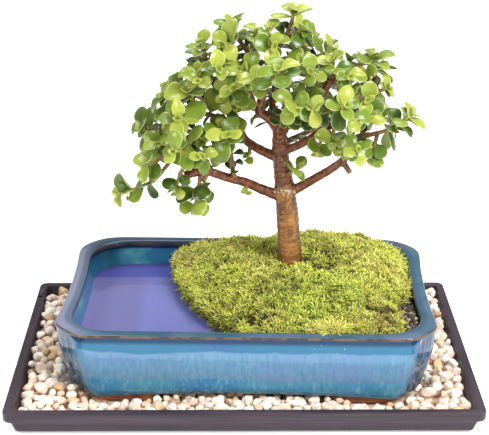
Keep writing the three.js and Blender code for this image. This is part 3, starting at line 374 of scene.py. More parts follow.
def jade_bark():
    f = Finish("jade_bark")
    along, thick, height = f.mark("along"), f.mark("thick"), f.axis("Z")
    grain = f.noise(240.0, 4.0)
    patch = f.noise(60.0, 3.0)
    rings = (along * 1.5 + grain * 9.0 + patch * 12.0).sin() * 0.5 + 0.5
    trunk = thick.step(*TRUNK_RADII)
    color = f.blend(grain.step(0.3, 0.7), tint(82, 34, 12), tint(140, 74, 30))
    golden = f.blend(patch.step(0.35, 0.65), tint(124, 76, 28), tint(178, 124, 56))
    color = f.blend(height.step(*GOLDEN_BARK) * trunk * 0.9, color, golden)
    color = f.blend(rings.step(0.9, 1.0) * grain.step(0.48, 0.66) * 0.45, color,
                    tint(208, 160, 108))
    color = f.blend(rings.step(0.2, 0.0) * 0.22, color, tint(56, 28, 14))
    # Vertical streaks of paler and darker bark on the trunk: partly grain, partly painted highlight
    # and shade.
    streaks = f.noise(1.0, 4.0, f.stretched(190, 190, 42), 0.6, 1.6)
    color = f.blend(streaks.step(0.54, 0.66) * trunk * 0.45, color, tint(212, 164, 104))
    color = f.blend(streaks.step(0.46, 0.36) * trunk * 0.55, color, tint(74, 40, 16))
    # Painted shade: the trunk darkens towards its left and right sides as seen from the front.
    off_axis = (f.axis("X") - TRUNK_X + (height - LEAN_START) * TRUNK_LEAN).size()
    color = f.blend(off_axis.step(4.5, 8.0) * trunk * 0.65, color, tint(66, 36, 14))
    color = f.blend(grain.step(0.56, 0.7) * 0.4, color, tint(60, 28, 12))
    band = ((height + grain * 5.0) - FORK_BAND).size().step(2.6, 0.8) * trunk
    color = f.blend(band * f.noise(300.0, 3.0).step(0.46, 0.56) * 0.8, color, tint(216, 200, 180))
    foot = height.step(*ROOT_BARK) * patch.step(0.4, 0.6)
    color = f.blend(foot * 0.6, color, tint(96, 56, 34))
    color = f.blend(thick.step(2.2, 1.1) * 0.6, color, tint(158, 124, 66))
    color = f.blend(f.mark("cut"), color, tint(96, 72, 40))
    return f.done(base_color=color, roughness=0.22 + grain * 0.25, ior=1.5,
                  coat_weight=0.15, coat_roughness=0.15,
                  normal=f.bump(rings * 0.5 + grain * 1.6, 0.4, 0.8))


def jade_leaf():
    f = Finish("jade_leaf")
    rim, run = f.mark("rim"), f.mark("run")
    # Age darkens the leaf; for leaves low in the crown or at its back it also carries painted
    # shade.
    top = f.ramp(f.mark("age"), (0.0, tint(166, 174, 68)), (0.3, tint(116, 138, 40)),
                 (0.6, tint(76, 104, 28)), (1.0, tint(48, 68, 20)))
    cloud = f.noise(130.0, 3.0)
    top = f.blend(cloud.step(0.45, 0.8) * 0.35, top, tint(150, 168, 76))
    top = f.blend(run.step(0.4, 0.0) * 0.5, top, tint(188, 194, 104))
    below = f.ramp(f.mark("age"), (0.0, tint(176, 188, 96)), (1.0, tint(84, 108, 52)))
    color = f.blend(f.mark("under"), top, below)
    color = f.blend(rim.step(0.75, 1.0) * 0.9, color, tint(230, 238, 178))
    color = f.blend(rim.step(0.93, 1.0) * f.noise(50.0).step(0.58, 0.72) * 0.5, color,
                    tint(170, 110, 70))
    return f.done(base_color=color, roughness=0.3 + f.mark("under") * 0.25, ior=1.45,
                  coat_weight=0.12, coat_roughness=0.1,
                  subsurface_weight=0.12, subsurface_radius=(1.0, 1.4, 0.25),
                  subsurface_scale=0.0016,
                  normal=f.bump(f.noise(500.0, 2.0) + cloud, 0.12, 0.4))


def green_stem():
    f = Finish("green_stem")
    age = f.mark("age")
    blush = f.noise(90.0, 2.0)
    color = f.ramp(age, (0.0, tint(176, 184, 84)), (0.5, tint(152, 130, 66)),
                   (1.0, tint(112, 70, 42)))
    color = f.blend(blush.step(0.5, 0.7) * 0.6, color, tint(158, 98, 68))
    return f.done(base_color=color, roughness=0.4, normal=f.bump(blush, 0.1, 0.5))


def screen_plastic():
    f = Finish("screen_plastic")
    cloud = f.noise(200.0, 3.0)
    color = f.blend(cloud.step(0.3, 0.7), tint(24, 24, 25), tint(44, 44, 46))
    return f.done(base_color=color, roughness=0.6, normal=f.bump(cloud, 0.1, 0.5))


def studio_floor():
    f = Finish("studio_floor")
    return f.done(base_color=(0.95, 0.95, 0.95, 1), roughness=0.9,
                  emission_color=(1, 1, 1, 1), emission_strength=0.46)


# ------------------------------------------------------------------ making pieces

def in_scene(name, data):
    made = bpy.data.objects.new(name, data)
    bpy.context.scene.collection.objects.link(made)
    return made


def keep_marks(mesh, marks):
    """Keeps numbers on a mesh's points, which its finish reads by name."""
    for key, values in marks.items():
        layer = mesh.attributes.new(key, "FLOAT", "POINT")
        layer.data.foreach_set("value", np.asarray(values, np.float32))


def piece(name, points, faces, finish, replaces=(), marks=(), sharp=None):
    """A mesh piece from points in millimetres, with marks for its finish."""
    mesh = bpy.data.meshes.new(name)
    mesh.from_pydata((np.asarray(points, float) * MM).tolist(), [], [list(f) for f in faces])
    keep_marks(mesh, dict(marks))
    mesh.shade_smooth()
    if sharp:
        mesh.set_sharp_from_angle(angle=math.radians(sharp))
    mesh.materials.append(finish)
    made = in_scene(name, mesh)
    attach(made, "root")
    if replaces:
        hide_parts(*replaces)
    return made


class Heap:
    """Points, faces and marks of many small forms, gathered into one mesh."""

    def __init__(self, *marks):
        self.points, self.faces, self.count = [], [], 0
        self.marks = {key: [] for key in marks}

    def put(self, points, faces, **marks):
        self.points.append(points)
        self.faces.append(np.asarray(faces) + self.count)
        for key, values in marks.items():
            self.marks[key].append(np.broadcast_to(values, len(points)))
        self.count += len(points)

    def piece(self, name, finish, slot, replaces=(), sharp=None):
        faces = [face for block in self.faces for face in block.tolist()]
        marks = {key: np.concatenate(values) for key, values in self.marks.items()}
        return piece(name, np.concatenate(self.points), faces, finish, replaces, marks, sharp)


def grid_faces(rows, columns, closed=True, start=0):
    """Quads between rows of points, each row a ring where closed."""
    row = np.arange(rows - 1)[:, None]
    column = np.arange(columns if closed else columns - 1)[None, :]
    a = row * columns + column
    b = row * columns + (column + 1) % columns
    return np.stack([a, b, b + columns, a + columns], -1).reshape(-1, 4) + start


def lofted(rings):
    """Points and faces of a skin over a stack of rings, closed at both ends by a fan."""
    rings = np.asarray(rings, float)
    rows, columns = rings.shape[:2]
    points = [*rings.reshape(-1, 3), rings[0].mean(0), rings[-1].mean(0)]
    faces = grid_faces(rows, columns).tolist()
    first, last, base = rows * columns, rows * columns + 1, (rows - 1) * columns
    for i in range(columns):
        j = (i + 1) % columns
        faces.append([first, j, i])
        faces.append([last, base + i, base + j])
    return np.array(points), faces


def in_pot(points):
    """From the pot's own frame to the tray's."""
    points = np.asarray(points, float).copy()
    c, s = math.cos(POT_TURN), math.sin(POT_TURN)
    x, y = points[..., 0].copy(), points[..., 1].copy()
    points[..., 0] = POT_X + c * x - s * y
    points[..., 1] = POT_Y + s * x + c * y
    return points


def to_pot(x, y):
    """From the tray's frame to the pot's own, in plan."""
    c, s = math.cos(-POT_TURN), math.sin(-POT_TURN)
    px, py = x - POT_X, y - POT_Y
    return np.stack([c * px - s * py, s * px + c * py], -1)


def unit(v):
    v = np.asarray(v, float)
    length = np.linalg.norm(v, axis=-1, keepdims=True)
    return v / np.where(length > 0, length, 1)


def run_along(line):
    """How far along a line each of its points lies."""
    return np.r_[0, np.cumsum(np.linalg.norm(np.diff(line, axis=0), axis=1))]


def placed_along(line, run, places):
    """Points of a line at given distances along it."""
    return np.stack([np.interp(places, run, line[:, k]) for k in (0, 1)], 1)


def spokes(count):
    """Directions all round in plan: their angles, and unit vectors."""
    angles = 2 * np.pi * (np.arange(count) + 0.5) / count
    return angles, np.stack([np.cos(angles), np.sin(angles)], 1)


def through(points, per_stretch):
    """A smooth line through points, which may carry a radius as a fourth number."""
    p = np.asarray(points, float)
    p = np.vstack([2 * p[0] - p[1], p, 2 * p[-1] - p[-2]])
    out = []
    for i in range(1, len(p) - 2):
        for t in np.arange(per_stretch) / per_stretch:
            a, b, c, d = p[i - 1:i + 3]
            out.append(0.5 * (2 * b + (c - a) * t + (2 * a - 5 * b + 4 * c - d) * t * t
                              + (3 * b - a - 3 * c + d) * t ** 3))
    out.append(p[-2])
    return np.array(out)


def tube(line, radii, sides):
    """Points and faces of a round limb along a line."""
    line, radii = np.asarray(line, float), np.asarray(radii, float)
    ahead = np.vstack([line[1:], line[-1:]])
    behind = np.vstack([line[:1], line[:-1]])
    along = unit(ahead - behind)
    across = np.array([0.3, 0.8, 0.1])
    angles = 2 * np.pi * np.arange(sides) / sides
    rings = []
    for point, way, radius in zip(line, along, radii):
        across = unit(across - way * (across @ way))
        third = np.cross(way, across)
        rings.append(point + radius * (np.cos(angles)[:, None] * across
                                       + np.sin(angles)[:, None] * third))
    return lofted(rings)


# ------------------------------------------------------------------ humidity tray

QUADRANTS = ((1, 1), (-1, 1), (-1, -1), (1, -1))
INNERMOST_CORNER = 2.5
PAD_HALF_DEPTH = 5.5
PAD_INSET = 15.2
HOLE_Y = 84


def tray_ring(inset, z, steps=9):
    """The tray's outline, drawn in by an inset, at one height."""
    x, y = TRAY_LENGTH / 2 - inset, TRAY_WIDTH / 2 - inset
    r = max(TRAY_CORNER - inset, INNERMOST_CORNER)
    ring = []
    for corner, (sx, sy) in enumerate(QUADRANTS):
        for step in range(steps + 1):
            angle = (corner + step / steps) * math.pi / 2
            ring.append((sx * (x - r) + r * math.cos(angle), sy * (y - r) + r * math.sin(angle), z))
    return ring


def humidity_tray():
    under = TRAY_HEIGHT - TRAY_LIP_DEPTH
    profile = [
        (19, 0.2), (17, TRAY_SKIRT), (8.2, TRAY_SKIRT), (7.5, TRAY_SKIRT + 0.3),
        (7, TRAY_SKIRT + 1), (6.7, TRAY_SKIRT + 2.2), (4.2, under - 0.9), (3.9, under - 0.4),
        (3.3, under - 0.2), (1.0, under - 0.1), (0.4, under + 0.1), (0.1, under + 0.6),
        (0, TRAY_HEIGHT - 1.2), (0.15, TRAY_HEIGHT - 0.5), (0.5, TRAY_HEIGHT - 0.1),
        (1.1, TRAY_HEIGHT), (TRAY_LIP - 0.9, TRAY_HEIGHT), (TRAY_LIP - 0.3, TRAY_HEIGHT - 0.2),
        (TRAY_LIP, TRAY_HEIGHT - 0.9), (TRAY_FLOOR_INSET - 1.4, TRAY_FLOOR + 1.6),
        (TRAY_FLOOR_INSET - 0.7, TRAY_FLOOR + 0.4), (TRAY_FLOOR_INSET, TRAY_FLOOR),
    ]
    points, faces = lofted([tray_ring(*step) for step in profile])
    heap = Heap()
    for x, length in TRAY_PADS:
        for side in (-1, 1):
            half = np.array([length / 2, PAD_HALF_DEPTH])
            middle = np.array([x, side * (TRAY_WIDTH / 2 - PAD_INSET)])
            rings = []
            for grow, z in ((-0.5, 0), (0, 0.4), (0, TRAY_SKIRT + 0.6)):
                rings.append([(*(middle + np.array(corner) * (half + grow)), z)
                              for corner in QUADRANTS])
            heap.put(*lofted_triangles(rings))
    finish = tray_plastic()
    tray = piece("tray_moulding", points, faces, finish, ["humidity_tray"], sharp=50)
    punch = hole_punch(TRAY_LIP / 2 - TRAY_LENGTH / 2, HOLE_Y, TRAY_HEIGHT, TRAY_HOLE)
    cut = tray.modifiers.new("hole", "BOOLEAN")
    cut.operation, cut.solver, cut.object = "DIFFERENCE", "EXACT", punch
    bake(tray)
    bpy.data.objects.remove(punch)
    heap.piece("tray_pads", finish, "tray", sharp=40)


def triangles(faces):
    """Faces of three and four corners, all split into triangles."""
    out = []
    for face in faces:
        out.append([face[0], face[1], face[2]])
        if len(face) == 4:
            out.append([face[0], face[2], face[3]])
    return np.array(out)


def lofted_triangles(rings):
    points, faces = lofted(rings)
    return points, triangles(faces)


def hole_punch(x, y, z, radius):
    angles = 2 * np.pi * np.arange(24) / 24
    rings = [[(x + radius * math.cos(a), y + radius * math.sin(a), h) for a in angles]
             for h in (z - 5, z + 5)]
    points, faces = lofted(rings)
    mesh = bpy.data.meshes.new("punch")
    mesh.from_pydata((points * MM).tolist(), [], faces)
    return in_scene("punch", mesh)


def bake(made):
    """Applies a piece's modifiers."""
    graph = bpy.context.evaluated_depsgraph_get()
    graph.update()
    mesh = bpy.data.meshes.new_from_object(made.evaluated_get(graph))
    made.modifiers.clear()
    made.data = mesh


# ------------------------------------------------------------------ pot

POT_QUARTER = [(127.3, 0), (127.9, 34), (129.8, 66), (129.9, 71.5), (127.6, 76), (115, 90.2),
               (111, 92.8), (105, 93.4)]
CORNER_CUT = 4
OUTLINE_POINTS = 320
INNER_EASING = 22
BACK_EASING = 14
DRAWN_OUT_X, DRAWN_OUT_Y = 113, 70   # beyond both of these the pot's corners are drawn out
ARCH_FADE = 19                       # the arch of the lower edge is gone at this height
PROFILE_STEPS = 3

# Across the rim, from outside to inside: the inset, and the height over the pot's top.
RIM_PROFILE = [(0.35, -2.9), (0.16, -2.0), (0.1, -1.3), (0.12, -0.9), (0.3, -0.45), (0.6, -0.12),
               (1.1, 0.1), (4.2, 0.3), (POT_LIP - 3.6, 0.3), (POT_LIP - 1.8, 0.1),
               (POT_LIP - 0.7, -0.6), (POT_LIP - 0.1, -1.7), (POT_LIP, -3)]
LEDGE_INSET = 6
WALL_INSET_TOP = 8.4
WALL_INSET_LOW = 15.5


def coarse_outline():
    back = POT_QUARTER + [(-x, y) for x, y in POT_QUARTER[::-1]][:-1]
    return np.array(back + [(-x, -y) for x, y in back], float)


def fine_outline():
    """The pot's outline as evenly spaced points, its corners a little rounded."""
    line = coarse_outline()
    for _ in range(3):
        cuts = []
        for toward in (1, -1):
            half = (np.roll(line, toward, 0) - line) * 0.5
            cut = np.minimum(np.linalg.norm(half, axis=1, keepdims=True), CORNER_CUT)
            cuts.append(line + unit(half) * cut * 0.5)
        line = np.stack(cuts, 1).reshape(-1, 2)
    closed = np.vstack([line, line[:1]])
    run = run_along(closed)
    return placed_along(closed, run, np.arange(OUTLINE_POINTS) * run[-1] / OUTLINE_POINTS)


def eased(ring, times):
    """A closed ring with its corners rounded more, the more often it is averaged."""
    for _ in range(times):
        ring = 0.5 * ring + 0.25 * (np.roll(ring, 1, 0) + np.roll(ring, -1, 0))
    return ring


def drawn_in(outline, inset):
    """The pot's outline moved inwards by an inset."""
    return outline * [1 - inset / POT_HALF_LENGTH, 1 - inset / POT_HALF_WIDTH]


def inner_inset(z):
    """How far the inner wall lies inside the outline at a height."""
    drop = DIVIDER_TOP - POT_FLOOR - 3
    return WALL_INSET_TOP + (DIVIDER_TOP - z) * (WALL_INSET_LOW - WALL_INSET_TOP) / drop


OUTLINE = fine_outline()
BEHIND = np.clip((OUTLINE[:, 1:] - 20) / 30, 0, 1)    # 1 at the back, where corners are rounder
OUTLINE = OUTLINE * (1 - BEHIND) + eased(OUTLINE, BACK_EASING) * BEHIND
INNER = eased(OUTLINE, INNER_EASING)

DIVIDER_PLAN = [(12, -91), (-3, -56), (-21, -32), (-35, -4), (-45.5, 26), (-51, 50), (-50, 72),
                (-44, 92)]
DIVIDER_POINTS = 57
DIVIDER_ENDS = 3            # points at each end that lie beyond the pot's wall
DIVIDER_SHOULDER = 52.5


def divider_line():
    """Evenly spaced points along the divider's line in plan, and their sideways directions."""
    fine = through(DIVIDER_PLAN, 40)
    run = run_along(fine)
    line = placed_along(fine, run, np.linspace(0, run[-1], DIVIDER_POINTS))
    way = unit(np.gradient(line, axis=0))
    return line, np.stack([way[:, 1], -way[:, 0]], 1)


def divider_side(shift):
    line, sideways = divider_line()
    return line + sideways * shift


def along_divider(line, sideways, profile):
    """A profile of sideways shifts and heights, set up at each point of the divider's line."""
    return np.array([[(*(p + side * shift), z) for shift, z in profile]
                     for p, side in zip(line, sideways)])


def arched(flat, z, fade):
    """A ring at one height, raised towards the middle of the long sides as far as it fades."""
    arch = POT_ARCH * np.maximum(0, 1 - (flat[:, 0] / POT_ARCH_HALF) ** 2)
    return np.column_stack([flat, z + arch * fade])


def pot(finish):
    """The bowl in one skin: foot, outside, rim and inside, with marks for the glaze."""
    lip = POT_TOP - POT_LIP_DEPTH
    lower = [(18, POT_UNDERSIDE - 1), (13.4, POT_SKIRT), (12, POT_SKIRT + 0.1),
             (11.3, POT_SKIRT + 0.5)]
    outside = through([(SKIRT_INSET, POT_SKIRT + 1), (9.6, 14.5), (8.4, 18.5), (6.1, 26.5),
                       (3.9, 35), (2.2, 43.5), (1.3, 52), (0.8, lip - 0.3)], PROFILE_STEPS)
    rim = [(inset, POT_TOP + rise) for inset, rise in RIM_PROFILE]
    inside = through([(POT_LIP - 0.4, lip - 0.3), (WALL_INSET_TOP, DIVIDER_TOP), (9.9, 47.5),
                      (12.2, 37), (WALL_INSET_LOW, 22), (21, POT_FLOOR)], PROFILE_STEPS)
    first_rim = len(lower) + len(outside)
    first_inside = first_rim + len(rim)
    rings, marks = [], {"inside": [], "rim": [], "break": [], "ledge": [], "corner": []}
    # The mark corner, on the drawn-out corners, carries the glaze's painted reflections there.
    cut = (np.clip((np.abs(OUTLINE[:, 0]) - DRAWN_OUT_X) / 6, 0, 1)
           * np.clip((np.abs(OUTLINE[:, 1]) - DRAWN_OUT_Y) / 5, 0, 1))
    for index, (inset, z) in enumerate([*lower, *outside, *rim, *inside]):
        on_rim = first_rim <= index < first_inside
        turned = index >= first_inside
        share = 1 if turned else inset / POT_LIP if on_rim else 0
        flat = drawn_in(eased(OUTLINE, round(INNER_EASING * share)), inset)
        plain = on_rim or turned
        fade = 0 if plain else np.clip((ARCH_FADE - z) / (ARCH_FADE - 1 - POT_SKIRT), 0, 1)
        rings.append(arched(flat, z, fade))
        outer_edge = on_rim and inset < 1 and POT_TOP - 1.5 < z < POT_TOP - 0.3
        inner_edge = on_rim and POT_LIP - 0.6 < inset
        at_foot = index in (1, 2, 3)
        worn = 1.0 if outer_edge else 0.5 if inner_edge else 0.8 if at_foot else 0.0
        values = (turned, on_rim and z > POT_TOP - 0.7, worn, on_rim and inset > LEDGE_INSET,
                  cut * (not plain))
        for key, value in zip(marks, values):
            marks[key].append(np.broadcast_to(value, OUTLINE_POINTS))
    points, faces = lofted(rings)
    marks = {key: np.r_[np.concatenate(values), 0, 0] for key, values in marks.items()}
    piece("pot_shell", in_pot(points), faces, finish, ["pot"], marks)


def divider(finish):
    """The curved wall between water and soil, rounded on top."""
    line, sideways = divider_line()
    half = [(0, DIVIDER_TOP), (1.3, 54.2), (2.2, 53.2), (DIVIDER_HALF, 51.5), (2.6, 40), (2.9, 20)]
    profile = [(-shift, z) for shift, z in half[:0:-1]] + half
    kept = slice(DIVIDER_ENDS, -DIVIDER_ENDS)
    points, faces = lofted(along_divider(line[kept], sideways[kept], profile))
    on_top = points[:, 2] > DIVIDER_SHOULDER
    marks = {"inside": np.ones(len(points)), "rim": np.where(on_top, 1.0, 0.0)}
    piece("pot_divider", in_pot(points), faces, finish, (), marks)


FOOT_SIZE = (55, 22)
FOOT_INSET_X, FOOT_INSET_Y = 18, 15


def pot_feet():
    """Four low unglazed feet with their outer corners cut off."""
    heap = Heap()
    length, depth = FOOT_SIZE
    x, y = POT_HALF_LENGTH - FOOT_INSET_X, POT_HALF_WIDTH - FOOT_INSET_Y
    plan = np.array([(x - length, y - depth), (x, y - depth), (x, y - 13), (x - 14, y),
                     (x - length + 4, y), (x - length, y - 4)])
    middle = plan.mean(0)
    for quadrant in QUADRANTS:
        rings = []
        for grow, z in ((-0.8, POT_FOOT), (0, POT_FOOT + 0.8), (0.3, POT_UNDERSIDE),
                        (0.6, POT_UNDERSIDE + 3)):
            ring = middle + (plan - middle) * (1 + grow / 20)
            ring = ring if quadrant[0] * quadrant[1] > 0 else ring[::-1]
            rings.append(np.column_stack([ring * quadrant, np.full(6, z)]))
        points, faces = lofted_triangles(rings)
        heap.put(in_pot(points), faces)
    heap.piece("pot_feet", bare_clay(), "clay", sharp=40)


# ------------------------------------------------------------------ water, soil and moss

def reach(centre, angle, outline, wall):
    """How far level lines from a centre run before they meet an outline or the divider."""
    segments = np.concatenate([
        np.stack([outline, np.roll(outline, -1, 0)], 1), np.stack([wall[:-1], wall[1:]], 1)])
    a, e = segments[:, 0] - centre, segments[:, 1] - segments[:, 0]
    angle = np.atleast_1d(angle)
    dx, dy = np.cos(angle)[:, None], np.sin(angle)[:, None]
    across = dx * e[:, 1] - dy * e[:, 0]
    across = np.where(np.abs(across) < 1e-9, 1e-9, across)
    along = (a[:, 0] * e[:, 1] - a[:, 1] * e[:, 0]) / across
    share = (a[:, 0] * dy - a[:, 1] * dx) / across
    met = (along > 0) & (share >= 0) & (share <= 1)
    return np.where(met, along, np.inf).min(1)


CENTRE = to_pot(TRUNK_X, TRUNK_Y)
BASIN_MIDDLE = (-82.0, -6.0)
WATER_SPOKES = 180


def water():
    centre = np.array(BASIN_MIDDLE)
    angles, way = spokes(WATER_SPOKES)
    full = reach(centre, angles, drawn_in(INNER, inner_inset(WATER_TOP) + 0.1),
                 divider_side(-DIVIDER_HALF - 0.2))
    steps = [(0.88, -23), (0.95, -18), (1, 0.5), (0.994, 0.12), (0.985, 0), (0.8, 0), (0.5, 0),
             (0.2, 0)]
    rings = [np.column_stack([centre + way * (full * share)[:, None],
                              np.full(WATER_SPOKES, WATER_TOP + rise)]) for share, rise in steps]
    points, faces = lofted(rings)
    piece("water_body", in_pot(points), faces, still_water(), ["water"])


BARE_SIDE = -0.5


def near(angle, middle, width):
    """1 in one direction from the trunk and less to both sides of it."""
    away = np.arctan2(np.sin(angle - middle), np.cos(angle - middle))
    return np.exp(-((away / width) ** 2))


def bare(angle):
    """1 towards the front right corner, where the soil shows."""
    return near(angle, BARE_SIDE, 0.22)


def moss_share(angle):
    """How much of the way from the trunk to the wall the moss covers."""
    return 0.985 - 0.16 * bare(angle)


def moss_height(angle, share):
    edge = MOSS_EDGE + sum(rise * near(angle, middle, width) for middle, width, rise in MOSS_LOBES)
    return edge + (MOSS_CROWN - edge) * (1 - share ** 3)


def soil_height(angle, share):
    return SOIL_EDGE + (0.66 - 0.5 * share) * (moss_height(angle, share) - SOIL_EDGE)


def lumps(x, y, seed, scale):
    """A smooth random relief, -1 to 1 or so."""
    draw = np.random.default_rng(seed)
    total = np.zeros_like(x)
    for _ in range(9):
        angle, phase = draw.uniform(0, 2 * np.pi, 2)
        size = scale * draw.uniform(0.7, 1.4)
        total += np.sin((x * np.cos(angle) + y * np.sin(angle)) / size + phase)
    return total / 3


SOIL_SPOKES = 200
SOIL_RINGS = 34
CRUMBS = 760
CRUMB_SIZE = (0.5, 1.5)
PALE_CRUMBS = 0.13


def soil():
    angles, way = spokes(SOIL_SPOKES)
    wall = divider_side(SOIL_SIDE)
    rings = []
    for inset, z in ((22.4, POT_FLOOR + 1.4), (inner_inset(POT_FLOOR + 4) + 0.9, POT_FLOOR + 4),
                     (SOIL_RIM, SOIL_EDGE - 1.5), (SOIL_RIM + 0.6, SOIL_EDGE - 0.4)):
        full = reach(CENTRE, angles, drawn_in(INNER, inset), wall)
        rings.append(np.column_stack([CENTRE + way * full[:, None], np.full(SOIL_SPOKES, z)]))
    full = reach(CENTRE, angles, drawn_in(INNER, SOIL_RIM), wall)
    for share in np.linspace(0.97, 0.0, SOIL_RINGS):
        flat = TRUNK_HOLE + share * (full * moss_share(angles) - TRUNK_HOLE)
        xy = CENTRE + way * flat[:, None]
        z = soil_height(angles, share) + 0.5 * lumps(xy[:, 0], xy[:, 1], 3, 2.0) - 0.4
        rings.append(np.column_stack([xy, z]))
    points, faces = lofted(rings)
    finish = potting_soil()
    piece("soil_bed", in_pot(points), faces, finish, ["soil"],
          {"pale": np.zeros(len(points))})
    soil_crumbs(finish, wall)


def soil_crumbs(finish, wall):
    """Loose crumbs where the soil is bare, some of them pale grit."""
    heap = Heap("pale")
    ball, ball_faces = stone_form(0)
    draw = np.random.default_rng(8)
    for _ in range(CRUMBS):
        angle = draw.normal(BARE_SIDE, 0.26)
        limit = reach(CENTRE, angle, drawn_in(INNER, SOIL_RIM), wall)[0]
        start = 0.84 if draw.random() < 0.8 else 0.7
        flat = limit * draw.uniform(start, 0.985)
        size = draw.uniform(*CRUMB_SIZE)
        share = min(1.0, flat / (limit * moss_share(np.array(angle))))
        ground = max(soil_height(angle, share), SOIL_EDGE)
        place = CENTRE + flat * np.array([math.cos(angle), math.sin(angle)])
        centre = np.array([*place, ground + size * 0.3 + draw.uniform(0, 0.8)])
        form = ball * (1 + 0.3 * draw.normal(size=(len(ball), 1))) * draw.uniform(0.6, 1.2, 3)
        pale = 0.85 if draw.random() < PALE_CRUMBS else draw.uniform(0, 0.2)
        heap.put(in_pot(centre + form * size), ball_faces, pale=pale)
    heap.piece("soil_crumbs", finish, "soil")


def moss_relief(x, y):
    """Broad mounds and smaller tufts, up to 3.6 mm up or down."""
    mounds = np.sin(x * 0.16 + 1.3 * np.sin(y * 0.11)) * np.sin(y * 0.19 + 0.9)
    tufts = np.sin(x * 0.43 + y * 0.21 + 1.1) * np.sin(y * 0.47 - x * 0.17)
    return 2.1 * mounds + 1.5 * tufts


MOSS_SECTORS = 260
MOSS_RINGS = 66
MOSS_CLUMPS = 190
CLUMP_GAP = 1.7
GAP_DEPTH = 2.8
SEAM_SHARE = 1.3
SEAM_DARKEST = 3.6
CLUMP_X, CLUMP_Y, CLUMP_WIDTH = 57, -82, 11     # the clump over the front rim
HANG_FROM_Y = -74
FRONT_SIDE, BACK_SIDE = -1.6, 0.9
# Deeper seams between the large cushions: points along each, its width and its depth.
MOSS_SEAMS = (
    ([(6, -46), (11, -36), (20, -21), (30, -8), (41, 4), (54, 8), (66, 3), (76, -10)], 3.0, 3.4),
    ([(38, -3), (42, 5), (46, 15)], 3.8, 5.0),
    ([(8, 14), (12, 2), (15, -8)], 3.0, 2.4),
    ([(-3, -60), (8, -64), (18, -60)], 3.2, 3.6),
    ([(80, -57), (90, -61), (101, -57)], 3.4, 3.4),
    ([(86, -28), (93, -39)], 3.4, 2.6),
    ([(50, -40), (60, -52), (57, -66)], 2.4, 2.0),
)


def moss_gaps(x, y):
    """0 on a clump of moss and 1 in the seam between two, for places in the pot's frame."""
    draw = np.random.default_rng(31)
    seeds = draw.uniform((-60, -84), (122, 84), (MOSS_CLUMPS, 2))
    bend_x, bend_y = 2.2 * lumps(x, y, 41, 4.0), 2.2 * lumps(x, y, 42, 4.0)
    away = np.hypot((x + bend_x)[..., None] - seeds[:, 0], (y + bend_y)[..., None] - seeds[:, 1])
    away.partition(1, axis=-1)
    seam = np.exp(-(away[..., 1] - away[..., 0]) / CLUMP_GAP)
    return seam * np.clip(0.62 + 0.5 * lumps(x, y, 43, 9.0), 0.1, 1)


def moss_seams(x, y):
    """How deep the large seams are at places in the pot's frame, in millimetres."""
    bend_x, bend_y = 1.6 * lumps(x, y, 44, 3.0), 1.6 * lumps(x, y, 45, 3.0)
    depth = np.zeros_like(x)
    for points, width, most in MOSS_SEAMS:
        line = through(points, 8)
        away = np.hypot((x + bend_x)[..., None] - line[:, 0], (y + bend_y)[..., None] - line[:, 1])
        depth = np.maximum(depth, most * np.exp(-(away.min(-1) / width) ** 2))
    return depth


def tuft_height(angle):
    """How far the bed lies below the tips of the moss, by direction from the trunk."""
    return 2.5 - 1.9 * near(angle, BACK_SIDE, 0.9) + 1.4 * near(angle, FRONT_SIDE, 0.9)


def front_clump(x, y):
    """A clump that swells over the front rim."""
    return 3.6 * np.exp(-((x - CLUMP_X) / CLUMP_WIDTH) ** 2 - ((y - CLUMP_Y) / 10) ** 2)


def over_rim(x, y):
    """How strongly the moss hangs over the front rim, 0 to 1."""
    return np.exp(-((x - CLUMP_X) / CLUMP_WIDTH) ** 2) * np.clip((HANG_FROM_Y - y) / 6, 0, 1)


def moss_surface():
    """Rings of the moss's skin, from its edge underneath over its top to the trunk."""
    angles, way = spokes(MOSS_SECTORS)
    full = reach(CENTRE, angles, drawn_in(INNER, SOIL_RIM), divider_side(MOSS_SIDE))
    limit = full * moss_share(angles)
    rings, edges = [], []
    steps = [(0.95, 0.0), (1.0, 0.0), (1.004, 0.35), (1.0, 0.7), (0.988, 0.92)]
    steps += [(share, 1.0) for share in np.linspace(0.97, 0, MOSS_RINGS)]
    for share, rise in steps:
        xy = CENTRE + way * (TRUNK_HOLE + share * (limit - TRUNK_HOLE))[:, None]
        x, y = xy.T
        top = moss_height(angles, min(share, 0.97)) + min(1, 1.6 - 1.3 * share) * moss_relief(x, y)
        top = top + 0.7 * lumps(x, y, 6, 2.6) + 0.4 * lumps(x, y, 7, 1.1)
        top = top - GAP_DEPTH * moss_gaps(x, y) - SEAM_SHARE * moss_seams(x, y)
        top = top - tuft_height(angles) + front_clump(x, y)
        low = SOIL_EDGE + 0.9 + 2.5 * np.sqrt(bare(angles)) - 0.6 * (rise == 0)
        rings.append(np.column_stack([x, y, low + (top - low) * rise]))
        # Painted shade at the cushion's outer edge, carried by the mark low.
        edges.append(np.clip((share - 0.93) / 0.07, 0, 1) * 0.7)
    return np.array(rings), np.array(edges)


def moss_hem():
    """Moss that hangs over the divider to just above the water, in rows along its line."""
    line, sideways = divider_line()
    kept = np.abs(line[:, 1]) < POT_HALF_WIDTH - HEM_INSET - 1
    profile = [(-3.1, WATER_TOP + 0.9), (-4.2, WATER_TOP + 1.0), (-4.7, WATER_TOP + 3), (-4.8, 50),
               (-4.5, 54.4), (-3.5, 56.3), (-1.5, 57.0), (1.0, 56.4)]
    rows = along_divider(line[kept], sideways[kept], profile)
    x, y, z = rows[..., 0], rows[..., 1], rows[..., 2]
    rows[..., 2] += 0.5 * lumps(x, y, 51, 3.0) * (z > WATER_TOP + 2)
    return rows


